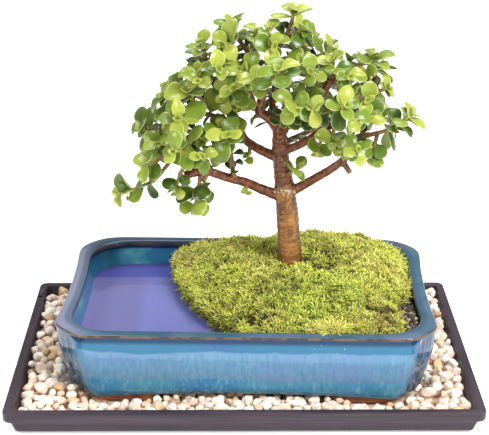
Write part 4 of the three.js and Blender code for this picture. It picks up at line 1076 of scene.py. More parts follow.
# Each kind of sprig: its name, how many, how long, and its dark, light and brown colours.
SPRIG_LOOKS = (
    ("moss_sprigs_bright", 9000, 3.9, (38, 48, 6), (232, 242, 70), (212, 210, 62)),
    ("moss_sprigs_olive", 5200, 3.2, (26, 30, 4), (192, 202, 58), (188, 162, 66)),
    ("moss_sprigs_straw", 2400, 4.4, (62, 54, 14), (246, 238, 110), (216, 182, 90)),
)
SPRIG_BLADES = 6
FEWER_IN_SEAMS = 0.85
MORE_OVER_RIM = 2.5
TALL_SPRIGS = 0.1
HANGING_WAY = [0, -1.7, 0.1]


def moss():
    """The moss's bed and hem in one skin, and three kinds of sprig that grow on it."""
    draw = np.random.default_rng(20)
    rings, edges = moss_surface()
    rows, columns = rings.shape[:2]
    points = rings.reshape(-1, 3)
    faces = grid_faces(rows, columns)
    # The mark low: painted shade in the gaps between clumps, at the edge and in the seams. It also
    # makes sprigs fewer and shorter there.
    low = np.maximum(np.repeat(edges, columns) * 0.5, moss_gaps(points[:, 0], points[:, 1]))
    hem = moss_hem()
    faces = np.concatenate([faces, grid_faces(*hem.shape[:2], False, len(points))])
    # Painted shade: the hem darkens lower down, towards the water.
    hanging = np.clip((54 - hem[..., 2]) / 12, 0, 1) * 0.7
    points = np.concatenate([points, hem.reshape(-1, 3)])
    low = np.maximum(np.concatenate([low, hanging.ravel()]),
                     moss_seams(points[:, 0], points[:, 1]) / SEAM_DARKEST)
    bed = moss_green("moss_cushion", tint(24, 26, 8), tint(76, 80, 22), tint(74, 60, 24))
    piece("moss_bed", in_pot(points), faces, bed, ["moss"],
          {"tip": np.full(len(points), 0.3), "tint": np.zeros(len(points)), "low": low})
    a, b, c, d = (points[faces[:, k]] for k in range(4))
    normal = np.cross(c - a, d - b)
    weight = np.linalg.norm(normal, axis=1)
    weight[:columns] = 0    # no sprigs on the underside
    weight *= np.clip(1 - FEWER_IN_SEAMS * low[faces[:, 0]], 0.1, 1)
    weight *= 1 + MORE_OVER_RIM * over_rim(*a.T[:2])
    normal = unit(normal)
    for name, count, length, dark, light, brown in SPRIG_LOOKS:
        chosen = draw.choice(len(faces), count, p=weight / weight.sum())
        u, v = draw.random((2, count))[:, :, None]
        foot = (a[chosen] * (1 - u) * (1 - v) + b[chosen] * u * (1 - v)
                + c[chosen] * u * v + d[chosen] * (1 - u) * v)
        way = unit(normal[chosen] * 0.6 + [0, 0, 0.6] + draw.normal(0, 0.3, (count, 3)))
        long = length * draw.uniform(0.6, 1.2, count)
        long = np.where(draw.random(count) < TALL_SPRIGS, long * 1.8, long)
        hang = over_rim(*foot.T[:2])
        way = unit(way + hang[:, None] * HANGING_WAY)
        long = long * (1 + 0.9 * hang)
        sunk = low[faces[chosen, 0]]
        place, blades, marks = moss_sprigs(draw, foot, way, long * (1 - 0.3 * sunk), sunk)
        look = moss_green(name, tint(*dark), tint(*light), tint(*brown))
        piece(name, in_pot(place), blades, look, (), marks)


def moss_sprigs(draw, foot, way, length, sunk):
    """Whorls of narrow pointed leaves, one whorl to each foot: points, faces and marks."""
    count = len(foot)
    shape = (count, SPRIG_BLADES, 1)
    side = unit(np.cross(way, draw.normal(size=(count, 3))))
    other = np.cross(way, side)
    turns = np.arange(SPRIG_BLADES)[:, None] + 0.7 * draw.random(shape)
    angles = 2 * np.pi * turns / SPRIG_BLADES
    out = np.cos(angles) * side[:, None] + np.sin(angles) * other[:, None]
    rise, spread = draw.uniform(0.3, 0.95, shape), draw.uniform(0.4, 1.15, shape)
    up, foot, length = way[:, None], foot[:, None], length[:, None, None]
    wide = np.cross(np.broadcast_to(up, out.shape), out) * (0.2 + 0.03 * length)
    middle = foot + length * (up * rise * 0.55 + out * spread * 0.3)
    tip = foot + length * (up * rise * 0.9 + out * spread * 0.8)
    base = np.broadcast_to(foot - up * 0.7, tip.shape)
    points = np.stack([base, middle - wide, middle + wide, tip], 2).reshape(-1, 3)
    blades = count * SPRIG_BLADES
    corners = np.array([[0, 1, 2], [1, 3, 2]])
    faces = (np.arange(blades)[:, None, None] * 4 + corners).reshape(-1, 3)
    each = SPRIG_BLADES * 4
    marks = {"tip": np.tile([0, 0.5, 0.5, 1.0], blades),
             "tint": np.repeat(draw.random(count), each), "low": np.repeat(sunk, each)}
    return points, faces, marks


# ------------------------------------------------------------------ pebbles

def stone_form(detail):
    """A round form with points of radius 1: an icosahedron with each face split up."""
    t = (1 + 5 ** 0.5) / 2
    points = [(-1, t, 0), (1, t, 0), (-1, -t, 0), (1, -t, 0), (0, -1, t), (0, 1, t), (0, -1, -t),
              (0, 1, -t), (t, 0, -1), (t, 0, 1), (-t, 0, -1), (-t, 0, 1)]
    faces = [(0, 11, 5), (0, 5, 1), (0, 1, 7), (0, 7, 10), (0, 10, 11), (1, 5, 9), (5, 11, 4),
             (11, 10, 2), (10, 7, 6), (7, 1, 8), (3, 9, 4), (3, 4, 2), (3, 2, 6), (3, 6, 8),
             (3, 8, 9), (4, 9, 5), (2, 4, 11), (6, 2, 10), (8, 6, 7), (9, 8, 1)]
    for _ in range(detail):
        split, made = {}, []
        for a, b, c in faces:
            middles = []
            for p, q in ((a, b), (b, c), (c, a)):
                key = (min(p, q), max(p, q))
                if key not in split:
                    split[key] = len(points)
                    points.append(tuple((np.array(points[p]) + np.array(points[q])) / 2))
                middles.append(split[key])
            ab, bc, ca = middles
            made += [(a, ab, ca), (b, bc, ab), (c, ca, bc), (ab, bc, ca)]
        faces = made
    return unit(np.array(points)), np.array(faces)


def outside_skirt(p):
    """How far places in the pot's frame lie outside its lower edge, negative under it."""
    corners = drawn_in(coarse_outline(), SKIRT_INSET)
    edges = np.roll(corners, -1, 0) - corners
    offset = p[:, None, :] - corners
    share = np.clip((offset * edges).sum(-1) / (edges * edges).sum(-1), 0, 1)
    away = np.linalg.norm(offset - share[..., None] * edges, axis=-1).min(1)
    x, y = np.abs(p).T
    inside = (x / SKIRT_HALF_LENGTH) ** 8 + (y / SKIRT_HALF_WIDTH) ** 8 < 1
    return np.where(inside, -away, away)


PEBBLE_FLOOR = 3.2
PEBBLE_TOP = 19.8
BURIED = 8.6                # stones whose middle is lower are plainer
FRONT_STRIP = 12 - POT_HALF_WIDTH
LARGE_STONES = (4.0, 5.8)
SMALL_STONES = (2.7, 4.0)
LARGE_SHARE = 0.78
MOST_STONES = 900
TRIES = 50
MOST_FAILURES = 60
FLATNESS = 0.72
NESTLED = 0.86              # how close two stones lie, against the sum of their radii
WALL_LEAN = 3.6             # how far past the floor's edge the leaning wall leaves room
CHIPS = 9                   # how often a stone's skin is flattened
FOOT_AT, FOOT_REACH = 82, 31

# The bed under the stones: the inset past the tray's floor, and the height.
BED_STEPS = ((0.8, TRAY_FLOOR + 0.3), (-0.7, 3.7), (-1.5, 7.4), (3, 7.6), (8, 7.0), (14, 5.2),
             (18, 4.4), (34, 4.4))


def highest_stone(spot, away, radius):
    """How high a stone's top may come, by its place in the pot's frame."""
    x, y = spot[:, 0], spot[:, 1]
    under = POT_SKIRT - 0.5 + POT_ARCH * np.maximum(0, 1 - (x / POT_ARCH_HALF) ** 2)
    by_foot = np.abs(np.abs(x) - FOOT_AT) < FOOT_REACH
    front = np.minimum(under - np.where(by_foot, 2.6, 0.4) + 0.4 * away, 16.5)
    beside = np.minimum(under + 1.2 + 1.1 * (away - radius), PEBBLE_TOP)
    beside = np.where(y < FRONT_STRIP, front, beside)
    return np.where(away > radius * 0.8, beside, under)


def laid_stones(draw):
    """Stones laid one by one, each at the lowest of the places tried, resting on others."""
    placed = np.zeros((0, 4))
    failures = 0
    while failures < MOST_FAILURES and len(placed) < MOST_STONES:
        radius = draw.uniform(*(LARGE_STONES if draw.random() < LARGE_SHARE else SMALL_STONES))
        room = TRAY_FLOOR_INSET - WALL_LEAN + radius
        x = draw.uniform(-1, 1, TRIES) * (TRAY_LENGTH / 2 - room)
        y = draw.uniform(-1, 1, TRIES) * (TRAY_WIDTH / 2 - room)
        spot = to_pot(x, y)
        away = outside_skirt(spot)
        z = PEBBLE_FLOOR + radius * FLATNESS + np.clip(away - 6, 0, 3)
        if len(placed):
            flat = np.hypot(x[:, None] - placed[:, 0], y[:, None] - placed[:, 1])
            touch = (radius + placed[:, 3]) * NESTLED
            top = placed[:, 2] + np.sqrt(np.maximum(touch ** 2 - flat ** 2, 0)) * 0.8
            z = np.maximum(z, np.where(flat < touch, top, 0).max(1))
        clear = away > np.where(np.abs(spot[:, 0]) < 50, -12, 0.7 * radius - 4)
        fits = clear & (z + radius * FLATNESS < highest_stone(spot, away, radius))
        z = np.where(fits, z, np.inf)
        best = int(np.argmin(z))
        if not np.isfinite(z[best]):
            failures += 1
            continue
        failures = 0
        placed = np.vstack([placed, (x[best], y[best], z[best], radius)])
    return placed


def cut_stone(draw, form):
    """A round form flattened on several sides and turned at random."""
    shape = form * draw.uniform([0.9, 0.76, 0.64], [1.3, 1.04, 0.9])
    for _ in range(CHIPS):
        way = unit(draw.normal(size=3))
        over = np.maximum(shape @ way - draw.uniform(0.5, 0.8), 0)
        shape = shape - over[:, None] * way * 0.95
    waves = np.sin(form @ draw.normal(0, 3, 3) + draw.uniform(0, 6))
    shape = shape * (1 + 0.035 * waves)[:, None]
    turn, tip = draw.uniform(0, 2 * np.pi), draw.normal(0, 0.35)
    c, s, ct, st = math.cos(turn), math.sin(turn), math.cos(tip), math.sin(tip)
    turned = np.array([[c, -s, 0], [s, c, 0], [0, 0, 1]])
    tipped = np.array([[1, 0, 0], [0, ct, -st], [0, st, ct]])
    return shape @ (turned @ tipped).T


def pebbles():
    draw = np.random.default_rng(4)
    placed = laid_stones(draw)
    forms = stone_form(1), stone_form(2)
    heaps = [Heap("tint") for _ in range(2)]
    for index, (x, y, z, radius) in enumerate(placed):
        form, faces = forms[int(z > BURIED)]
        shape = cut_stone(draw, form)
        heaps[index % 2].put(shape * radius + [x, y, z], faces, tint=draw.random())
    finish = pebble_stone()
    heaps[0].piece("pebbles_a", finish, "pebbles", ["gravel"], sharp=34)
    heaps[1].piece("pebbles_b", finish, "pebbles", sharp=34)
    points, faces = lofted([tray_ring(TRAY_FLOOR_INSET + inset, z, 6) for inset, z in BED_STEPS])
    piece("pebble_bed", points, faces, finish, (), {"tint": np.full(len(points), 0.9)})


# ------------------------------------------------------------------ wood

TRUNK = ([(33, 8, ROOT_PLUG), (33, 8, 68), (33, 8, 82), (32, 8, 103), (30, 8, 126), (28, 8, 142),
          (26, 8, 158), (25, 8, 174), (25, 8, 182)],
         [8.8, 9.0, 8.8, 7.9, 7.5, 6.6, 5.8, 4.9, 4])

LIMBS = [
    # left, low, ending in a clean cut
    ([(28, 8, 127), (13, 7, 133), (2, 4, 139), (-11, 0, 144), (-25, -4, 150), (-34, -6, 150),
      (-41, -7, 148)], [4, 3.3, 3, 2.9, 2.8, 3, 2.8]),
    # left, high, rising in knuckles to the crown
    ([(26, 9, 155), (13, 12, 160), (5, 15, 164), (0, 17, 168), (-3, 18, 176), (-7, 19, 185),
      (-9, 20, 196), (-4, 19, 206), (2, 18, 216), (6, 17, 223), (2, 16, 231), (-2, 15, 237)],
     [3.6, 3.1, 2.9, 2.8, 2.7, 2.3, 2, 1.8, 1.6, 1.6, 1.5, 1.3]),
    # right, low
    ([(30, 8, 129), (44, 5, 138), (52, 2, 144), (60, -1, 150), (68, -3, 157), (73, -4, 163),
      (75, -4, 172), (80, -5, 176), (87, -6, 177)], [3.8, 3, 2.8, 2.7, 2.5, 2.2, 1.9, 1.7, 1.9]),
    # right, middle, turning up to a pruned end
    ([(26, 8, 160), (42, 8, 167), (53, 8, 175), (63, 8, 181), (71, 8, 186), (80, 8, 193),
      (87, 8, 204), (91, 8, 214)], [3, 2.5, 2.4, 2.3, 2.1, 2, 2, 1.9]),
    # right, thin, towards the back
    ([(26, 10, 165), (40, 22, 168), (49, 30, 170), (59, 40, 174), (71, 48, 179)],
     [2.3, 1.8, 1.6, 1.5, 1.2]),
    # crown, left fork and leader
    ([(25, 8, 177), (18, 8, 185), (11, 7, 190), (12, 6, 197), (14, 6, 206), (14, 7, 212),
      (17, 9, 222), (23, 10, 233), (29, 9, 244), (32, 8, 251)],
     [4, 3.5, 3.1, 2.9, 2.6, 2.3, 1.9, 1.6, 1.3, 1.1]),
    # crown, middle
    ([(25, 10, 178), (21, 18, 188), (20, 24, 195), (24, 30, 205), (30, 32, 216), (37, 32, 226)],
     [3, 2.5, 2.2, 1.9, 1.6, 1.2]),
    # crown, right fork, ending in a clean cut
    ([(25, 8, 176), (33, 5, 183), (41, 2, 187), (48, -1, 194), (53, -3, 204), (57, -4, 212),
      (59, -5, 217)], [3.8, 3.4, 3.2, 3, 2.7, 2.6, 2.6]),
    ([(52, -2, 201), (50, 1, 210), (49, 3, 219), (49, 4, 229)], [2, 1.6, 1.5, 1.3]),
    ([(57, -4, 210), (63, -2, 217), (68, 0, 222), (72, 2, 226)], [1.8, 1.6, 1.3, 1.2]),
    ([(25, 6, 175), (29, -12, 192), (29, -26, 209), (25, -36, 224)], [2.6, 2, 1.7, 1.3]),
    ([(43, 1, 189), (50, -20, 197), (58, -34, 203)], [2.1, 1.6, 1.3]),
    ([(25, 10, 172), (18, 34, 176), (9, 52, 181), (2, 66, 185)], [2.8, 2.1, 1.8, 1.4]),
    ([(26, 10, 171), (36, 34, 179), (45, 52, 184), (55, 66, 188)], [2.8, 2.1, 1.8, 1.4]),
    ([(20, 24, 195), (26, 42, 191), (30, 60, 194)], [1.9, 1.6, 1.3]),
    ([(-9, 20, 195), (-15, 17, 200), (-21, 14, 208), (-23, 12, 217), (-26, 11, 226)],
     [1.9, 1.6, 1.4, 1.3, 1.1]),
    ([(-4, 18, 178), (-14, 14, 183), (-25, 10, 187), (-36, 8, 190), (-44, 7, 195)],
     [2.2, 1.7, 1.5, 1.4, 1.2]),
    ([(0, 17, 168), (-11, 20, 168), (-24, 22, 170), (-36, 22, 171), (-48, 20, 172), (-59, 18, 173)],
     [2.1, 1.7, 1.6, 1.5, 1.3, 1.2]),
    ([(-6, 19, 182), (-17, 36, 184), (-28, 50, 186), (-37, 58, 189)], [1.9, 1.6, 1.4, 1.2]),
    ([(-6, 2, 141), (-8, 1, 152), (-9, 0, 163), (-12, -3, 171)], [1.8, 1.5, 1.4, 1.2]),
    ([(-22, -3, 148), (-27, -6, 159), (-35, -9, 165), (-44, -12, 168), (-53, -14, 167)],
     [2, 1.6, 1.5, 1.4, 1.2]),
]

# Short stubs where small twigs were cut back: their foot, their tip and their radius.
STUBS = [
    ((68, -3, 158), (74, -5, 149), 1.7), ((14, 7, 212), (6, 5, 209), 1.6),
    ((-5, 19, 181), (-12, 17, 178), 1.6), ((25, 8, 178), (29, 7, 187), 2.2),
    ((2, 18, 216), (-3, 15, 220), 1.4), ((80, 8, 193), (88, 5, 190), 1.4),
    ((-25, -4, 150), (-28, -9, 144), 1.5),
]


THIN_LIMB = 4.2
STOUT_LIMB = 5
KNUCKLES = 7.5      # from one knuckle to the next
RING_SHIFT = 13.7   # from limb to limb, so that their rings don't match
SKIN_VOXEL = 0.65
RING_HEIGHT = 0.22
TWIG_RING_HEIGHT = 0.05
BARK_LUMPS = 0.25


def wood():
    """The trunk, the limbs and the stubs, grown together under one skin."""
    heap = Heap()
    lines = [TRUNK, *LIMBS]
    lines += [([foot, tip], [radius * 1.15, radius]) for foot, tip, radius in STUBS]
    samples = []
    for points, radii in lines:
        fine = through(np.column_stack([np.array(points, float), radii]), 8)
        run = run_along(fine[:, :3])
        thick = fine[:, 3]
        knuckle = 0.09 * np.clip(np.sin(run * 2 * np.pi / KNUCKLES + run[-1]), 0, 1) ** 4
        thin = thick < THIN_LIMB
        grown = thick * (1 + np.where(thin, knuckle, 0)) + np.where(thin, 0.3, 0.1)
        shape, faces = tube(fine[:, :3], grown, 14 if thick[0] > STOUT_LIMB else 10)
        heap.put(shape, triangles(faces))
        end = np.zeros(len(fine))
        end[-1] = 1
        rings = run + RING_SHIFT * len(samples)
        samples.append(np.column_stack([fine[:, :3], rings, thick, end]))
    made = heap.piece("trunk_and_branches", jade_bark(), "bark", ["trunk"])
    remesh = made.modifiers.new("skin", "REMESH")
    remesh.mode, remesh.voxel_size, remesh.use_smooth_shade = "VOXEL", SKIN_VOXEL * MM, True
    smooth = made.modifiers.new("ease", "SMOOTH")
    smooth.factor, smooth.iterations = 0.5, 5
    bake(made)
    mark_bark(made.data, np.vstack(samples))


def point_vectors(mesh, key):
    """One vector of each point, its place or its normal, as rows."""
    values = np.zeros(len(mesh.vertices) * 3)
    mesh.vertices.foreach_get(key, values)
    return values.reshape(-1, 3)


def mark_bark(mesh, samples):
    """Gives each point its place along its limb and raises the bark's rings."""
    at = point_vectors(mesh, "co") / MM
    normals = point_vectors(mesh, "normal")
    tree = kdtree.KDTree(len(samples))
    for i, row in enumerate(samples):
        tree.insert(row[:3], i)
    tree.balance()
    nearest = np.array([tree.find(p)[1] for p in at])
    along, thick, end = samples[nearest, 3], samples[nearest, 4], samples[nearest, 5]
    x, y, z = at.T
    off_axis = np.hypot(x - TRUNK_X + TRUNK_LEAN * (z - LEAN_START), y - TRUNK_Y)
    in_trunk = (off_axis < 8.8) & (z < 138)
    thick = np.where(in_trunk, np.maximum(thick, 7.0), thick)
    turn = np.arctan2(y - TRUNK_Y, x - 30)
    wave = np.sin(z * 1.35 + 1.5 * np.sin(turn * 2 + z * 0.05) + 2 * np.sin(z * 0.21))
    stout = thick > THIN_LIMB
    ridge = np.where(stout, RING_HEIGHT * np.clip(wave, -0.3, 1),
                     TWIG_RING_HEIGHT * np.sin(along * 2.6))
    ridge += BARK_LUMPS * lumps(x + y, z, 12, 5.0) * stout
    at = at + normals * ridge[:, None]
    mesh.vertices.foreach_set("co", (at * MM).ravel())
    keep_marks(mesh, {"along": along, "thick": thick, "cut": end * (thick > 1.35)})
    mesh.shade_smooth()
    mesh.update()


# ------------------------------------------------------------------ leafy shoots

SHOOTS = [
    ("low_tip", (-44, -12, 168), (-62, -16, 147), (-85, -18, 138), 5, 17),
    ("low_drop", (-35, -9, 165), (-44, -13, 151), (-47, -14, 140), 3, 16),
    ("under_stub", (-30, -5, 150), (-31, -8, 141), (-34, -8, 125), 4, 18),
    ("far_left", (-59, 18, 173), (-64, 17, 173), (-70, 15, 175), 2, 18, (-6, 24, 0)),
    ("left_face", (-48, 20, 172), (-58, 8, 168), (-65, 0, 167), 3, 17, (-2, -26, 5)),
    ("left_tip_mid", (-53, -14, 167), (-60, -20, 162), (-67, -22, 160), 3, 16),
    ("left_upper_tip", (-44, 7, 195), (-48, 4, 199), (-54, 2, 202), 3, 16, (-4, 24, 0)),
    ("left_upper_low", (-41, 7, 193), (-43, 0, 186), (-51, -4, 186), 3, 17, (-2, -27, 7)),
    ("big_face", (-36, 8, 190), (-35, -2, 199), (-37, -8, 207), 2, 21),
    ("fan_tip", (-26, 11, 226), (-27, 9, 231), (-29, 8, 237), 3, 16, (-5, 22, -4)),
    ("fan_side", (-21, 14, 208), (-27, 6, 214), (-33, 0, 219), 3, 17, (-5, -24, 5)),
    ("dark_big", (-4, 19, 206), (-7, 6, 204), (-12, -2, 204), 3, 20, (0, -26, 9)),
    ("fan_front", (-23, 12, 217), (-18, 0, 221), (-14, -6, 227), 3, 17, (2, -24, 7)),
    ("top_left", (-2, 15, 237), (-7, 14, 243), (-9, 13, 250), 4, 18, (0, 22, -4)),
    ("top_left", (-6, 14, 242), (-7, 5, 240), (-12, -2, 240), 3, 18),
    ("upper_mid", (6, 17, 223), (8, 10, 237), (10, 8, 245), 3, 16, (-3, 22, -6)),
    ("shoot_mid", (23, 10, 233), (18, 5, 241), (17, 3, 248), 3, 17, (1, -21, 2)),
    ("top", (32, 8, 251), (33, 8, 255), (33, 8, 259), 2, 17),
    ("top_side", (29, 9, 244), (35, 6, 245), (40, 4, 248), 3, 17, (4, 22, -8)),
    ("front_rosette", (25, -36, 224), (23, -42, 227), (22, -46, 232), 3, 18),
    ("front_low", (29, -26, 209), (32, -36, 209), (34, -44, 207), 3, 17, (14, -10, -3)),
    ("mid_top", (37, 32, 226), (43, 34, 230), (50, 35, 232), 3, 16, (4, 22, -2)),
    ("right_a", (49, 4, 229), (54, 2, 232), (60, 0, 235), 3, 16, (6, 22, -3)),
    ("right_b", (49, 3, 219), (43, -8, 223), (39, -14, 229), 3, 17, (-1, -25, 6)),
    ("right_c", (59, -5, 217), (60, -12, 222), (58, -16, 230), 3, 17, (9, -22, 4)),
    ("right_d", (72, 2, 226), (79, 0, 224), (84, -2, 220), 3, 16, (4, 22, -4)),
    ("right_top", (91, 8, 214), (89, 8, 221), (88, 8, 229), 4, 17, (4, 22, -5)),
    ("right_e", (87, 8, 204), (93, 4, 205), (98, 2, 208), 3, 13, (2, 22, 0)),
    ("right_f", (86, 8, 202), (73, -4, 203), (68, -10, 209), 3, 17, (6, -26, 5)),
    ("right_g", (75, 8, 189), (85, 0, 192), (91, -4, 191), 3, 16, (2, -24, 5)),
    ("right_twig", (87, -6, 177), (101, -9, 182), (113, -12, 192), 5, 17, (6, 20, -3)),
    ("right_twig", (92, -7, 179), (90, -9, 171), (88, -9, 163), 3, 16),
    ("right_low_a", (75, -4, 172), (74, -12, 170), (73, -14, 166), 3, 16, (2, -24, 5)),
    ("right_low_b", (63, 8, 181), (62, -4, 180), (61, -8, 175), 3, 20),
    ("right_low_c", (53, 8, 175), (54, 2, 171), (52, 0, 166), 2, 18),
    ("trunk_side", (28, 8, 143), (34, -2, 149), (37, -4, 152), 1, 16),
    ("knuckle_drop", (5, 15, 164), (4, 12, 159), (3, 12, 155), 1, 10),
    ("low_bud", (2, 4, 139), (2, 0, 136), (2, -1, 135), 1, 9),
    ("riser_top", (-12, -3, 171), (-14, -9, 179), (-15, -12, 184), 3, 18, (2, -23, 7)),
    ("riser_side", (-9, 0, 163), (-13, -8, 166), (-17, -12, 168), 2, 17),
    ("sweep_a", (-27, -6, 159), (-27, -14, 167), (-27, -18, 175), 3, 17, (-1, -22, 5)),
    ("sweep_b", (-40, -10, 167), (-37, -18, 173), (-41, -22, 178), 3, 17, (-9, -20, 3)),
    ("elbow_face", (-3, 18, 177), (-5, 7, 186), (-6, -4, 195), 2, 18, (-12, 12, 8)),
    ("crown_side", (14, 7, 209), (8, -6, 219), (3, -10, 223), 3, 17, (-1, -27, 5)),
    ("crown_right", (48, -1, 194), (43, -14, 201), (40, -20, 207), 3, 17),
    ("front_right", (58, -34, 203), (61, -44, 207), (65, -50, 210), 3, 17, (13, -8, -6)),
    ("back_left", (2, 66, 185), (-2, 72, 186), (-8, 80, 189), 3, 17, (-17, 2, 8)),
    ("back_left_up", (9, 52, 181), (5, 60, 192), (4, 66, 201), 3, 17, (-14, 10, 4)),
    ("back_right", (55, 66, 188), (61, 74, 189), (69, 80, 192), 3, 17, (-12, 14, 8)),
    ("back_right_up", (45, 52, 184), (47, 60, 195), (46, 64, 205), 3, 17, (12, 14, 3)),
    ("back_mid", (30, 60, 194), (32, 68, 199), (33, 74, 205), 3, 17, (-12, 14, -7)),
    ("back_far_left", (-37, 58, 189), (-43, 62, 190), (-50, 64, 193), 3, 17, (6, 14, 15)),
    ("back_far_right", (71, 48, 179), (79, 54, 182), (86, 58, 186), 3, 17, (1, 8, 19)),
]

UP = np.array([0.0, 0.0, 1.0])
STEM_RADII = (1.7, 1.6, 1.5)
STEM_SIDES = 10
SIDE_START = 0.4
SIDE_PAIRS = 2
SIDE_SIZE = 0.95
LEAF_FOOT = 0.4
LEAF_WIDE = 0.76
TIP_LEAN = 0.5
LOWER_LEAN = 0.3
LEAF_RISE = 0.16
LEAF_SAG = 0.1
LEAF_CLEAR = 2.7
OWN_CLEAR = 2.2
STEM_CLEAR = 1.4
LEAF_MIDDLE = 0.55
LEAF_REACH = 0.62           # leaves with their middles further apart can't touch
TIP_PLACE = 0.96
PLACE_RUN = 0.68
PAIR_SEED, SMALL_SEED, TWIG_SEED = 7001, 90001, 5501
SHOOT_STEP, RANK_STEP = 131, 17
# What is tried in turn for a leaf: a turn about its shoot, and a share of its size.
LEAF_TRIES = ((0, 1), (0.45, 1), (-0.45, 1), (0.2, 0.8), (-0.6, 0.8), (0.8, 0.72))
TWIG_STEP = 7.5
TWIG_TRIES = (0, 0.5, -0.5, 1.0, -1.0)
THICKEST_TWIG = 2.35
CANOPY_MIDDLE = np.array([25.0, 32.0, 0.0])
CANOPY_FACING = np.array([0.25, 1.0, 0.0])


def draws(seed):
    state = seed
    while True:
        state = (state * 1664525 + 1013904223) % 4294967296
        yield state / 4294967296


def leaf_place(rank, pairs):
    """How far along its shoot a pair of leaves sits. Rank 0 is the pair at the tip."""
    return TIP_PLACE - PLACE_RUN * rank / pairs


def along_shoot(line, share):
    stretch = 0 if share < 0.5 else 1
    return line[stretch] + (line[stretch + 1] - line[stretch]) * (2 * share - stretch)


def all_shoots():
    shoots = []
    for name, start, middle, tip, pairs, size, *side in SHOOTS:
        line = np.array([start, middle, tip], float)
        shoots.append((name, line, pairs, size))
        if side:
            root = along_shoot(line, SIDE_START)
            end = root + side[0]
            halfway = (root + end) / 2 + [0, 0, -1.5]
            shoots.append((name, np.array([root, halfway, end]), SIDE_PAIRS, size * SIDE_SIZE))
    return shoots


class Leaf:
    """Where a leaf sits and how it is turned."""

    def __init__(self, root, out, face, length, width):
        self.along = unit(out)
        self.up = unit(face - self.along * (face @ self.along))
        self.side = np.cross(self.up, self.along)
        self.root = root - self.along * LEAF_FOOT
        self.length, self.width = length, width

    def at(self, share, across, lift):
        share, across, lift = (np.asarray(v, float)[..., None] for v in (share, across, lift))
        return (self.root + self.along * share * self.length
                + self.side * across * self.width / 2 + self.up * lift * self.length)


def leaf_arch(share):
    return 0.22 * share * (1 - share) - 0.05 * share


# Places on a blade that are kept clear, along it and across it. The first six lie at the tip
# and nearest the foot. Twig leaves pass over them.
BLADE = [(1, 0)] + [(share, across * half) for share, half in
                    ((0.3, 0.55), (0.5, 0.85), (0.7, 1), (0.9, 0.7))
                    for across in (-1, -0.5, 0, 0.5, 1)]
BLADE_SHARE, BLADE_ACROSS = np.array(BLADE).T
OUTER_BLADE = 6
LEAF_GRID = (12, 14)
YOUNG_GRID = (8, 10)


def line_points(line, radii):
    line = np.asarray(line, float)
    sixths = np.arange(7)[:, None] / 6
    return np.vstack([np.hstack([line[i] + (line[i + 1] - line[i]) * sixths,
                                 radii[i] + (radii[i + 1] - radii[i]) * sixths])
                      for i in range(len(line) - 1)])


def grow_leaves(shoots):
    """Leaves in opposite pairs, each turned, made smaller or left out to stay clear."""
    timber = np.vstack([line_points(*limb) for limb in [TRUNK, *LIMBS]])
    stems = np.vstack([line_points(line, STEM_RADII) for _, line, _, _ in shoots])
    stem_names = np.repeat([name for name, *_ in shoots], len(stems) // len(shoots))
    placed, leaves = [], []

    def is_clear(leaf, blade, name, ease=1.0):
        middle = leaf.at(LEAF_MIDDLE, 0, 0)
        for owner, other, centre, length in placed:
            if np.linalg.norm(centre - middle) < (leaf.length + length) * LEAF_REACH + LEAF_CLEAR:
                room = (OWN_CLEAR if owner == name else LEAF_CLEAR) * ease
                if np.linalg.norm(other[:, None] - blade, axis=-1).min() < room:
                    return False
        for block in (timber, stems[stem_names != name]):
            near_by = np.linalg.norm(block[:, None, :3] - blade, axis=-1).min(1)
            if (near_by < block[:, 3] + STEM_CLEAR * ease).any():
                return False
        return True

    def settle(leaf, name, rank, reach_from=0, ease=1.0):
        blade = leaf.at(BLADE_SHARE, BLADE_ACROSS, leaf_arch(BLADE_SHARE))
        if not is_clear(leaf, blade[reach_from:], name, ease):
            return False
        placed.append((name, blade, leaf.at(LEAF_MIDDLE, 0, 0), leaf.length))
        leaves.append((leaf, rank))
        return True

    def pair(name, line, place, own, draw, rank, size, lean, scale, ease=1.0):
        stretch = 0 if place < 0.5 else 1
        along = unit(line[stretch + 1] - line[stretch])
        level = np.array([1.0, 0, 0]) if abs(along[2]) > 0.9 else UP
        across = unit(np.cross(along, level))
        third = np.cross(across, along)
        root = along_shoot(line, place)
        outward = unit((root - CANOPY_MIDDLE) * CANOPY_FACING)
        quarter = (rank % 2) * math.pi / 2 + 0.6 * (next(draw) - 0.5) + own
        upright = min(max(along[2], 0), 1)
        for half in (0, math.pi):
            grown = scale * (0.76 + 0.36 * next(draw))
            wide = LEAF_WIDE * (0.85 + 0.3 * next(draw))
            tilt = 0.4 * (next(draw) - 0.5)
            roll = 0.9 * (next(draw) - 0.5)
            for turn, less in LEAF_TRIES:
                angle = quarter + half + turn
                radial = across * math.cos(angle) + third * math.sin(angle)
                out = radial + along * (lean + tilt) + UP * (LEAF_RISE - LEAF_SAG * rank)
                face = (outward * (0.6 - 0.35 * upright) + UP * 0.9
                        + along * (0.3 + 0.5 * upright) + np.cross(along, radial) * roll
                        - radial * 0.3)
                length = size * grown * less
                if settle(Leaf(root, out, face, length, length * wide), name, rank, 0, ease):
                    break

    for rank in range(max(pairs for _, _, pairs, _ in shoots)):
        for own, (name, line, pairs, size) in enumerate(shoots):
            if rank < pairs:
                lean, scale = (LOWER_LEAN, 0.95) if rank else (TIP_LEAN, 0.8)
                draw = draws(PAIR_SEED + SHOOT_STEP * own + RANK_STEP * rank)
                pair(name, line, leaf_place(rank, pairs), own, draw, rank, size, lean, scale)
    full_grown = len(leaves)
    for own, (name, line, pairs, size) in enumerate(shoots):
        draw = draws(SMALL_SEED + SHOOT_STEP * own)
        pair(name, line, leaf_place(0.55, pairs), own + 0.8, draw, 1, size, 0.6, 0.6, 0.45)
    twig_leaves(settle)
    return leaves[:full_grown], leaves[full_grown:]


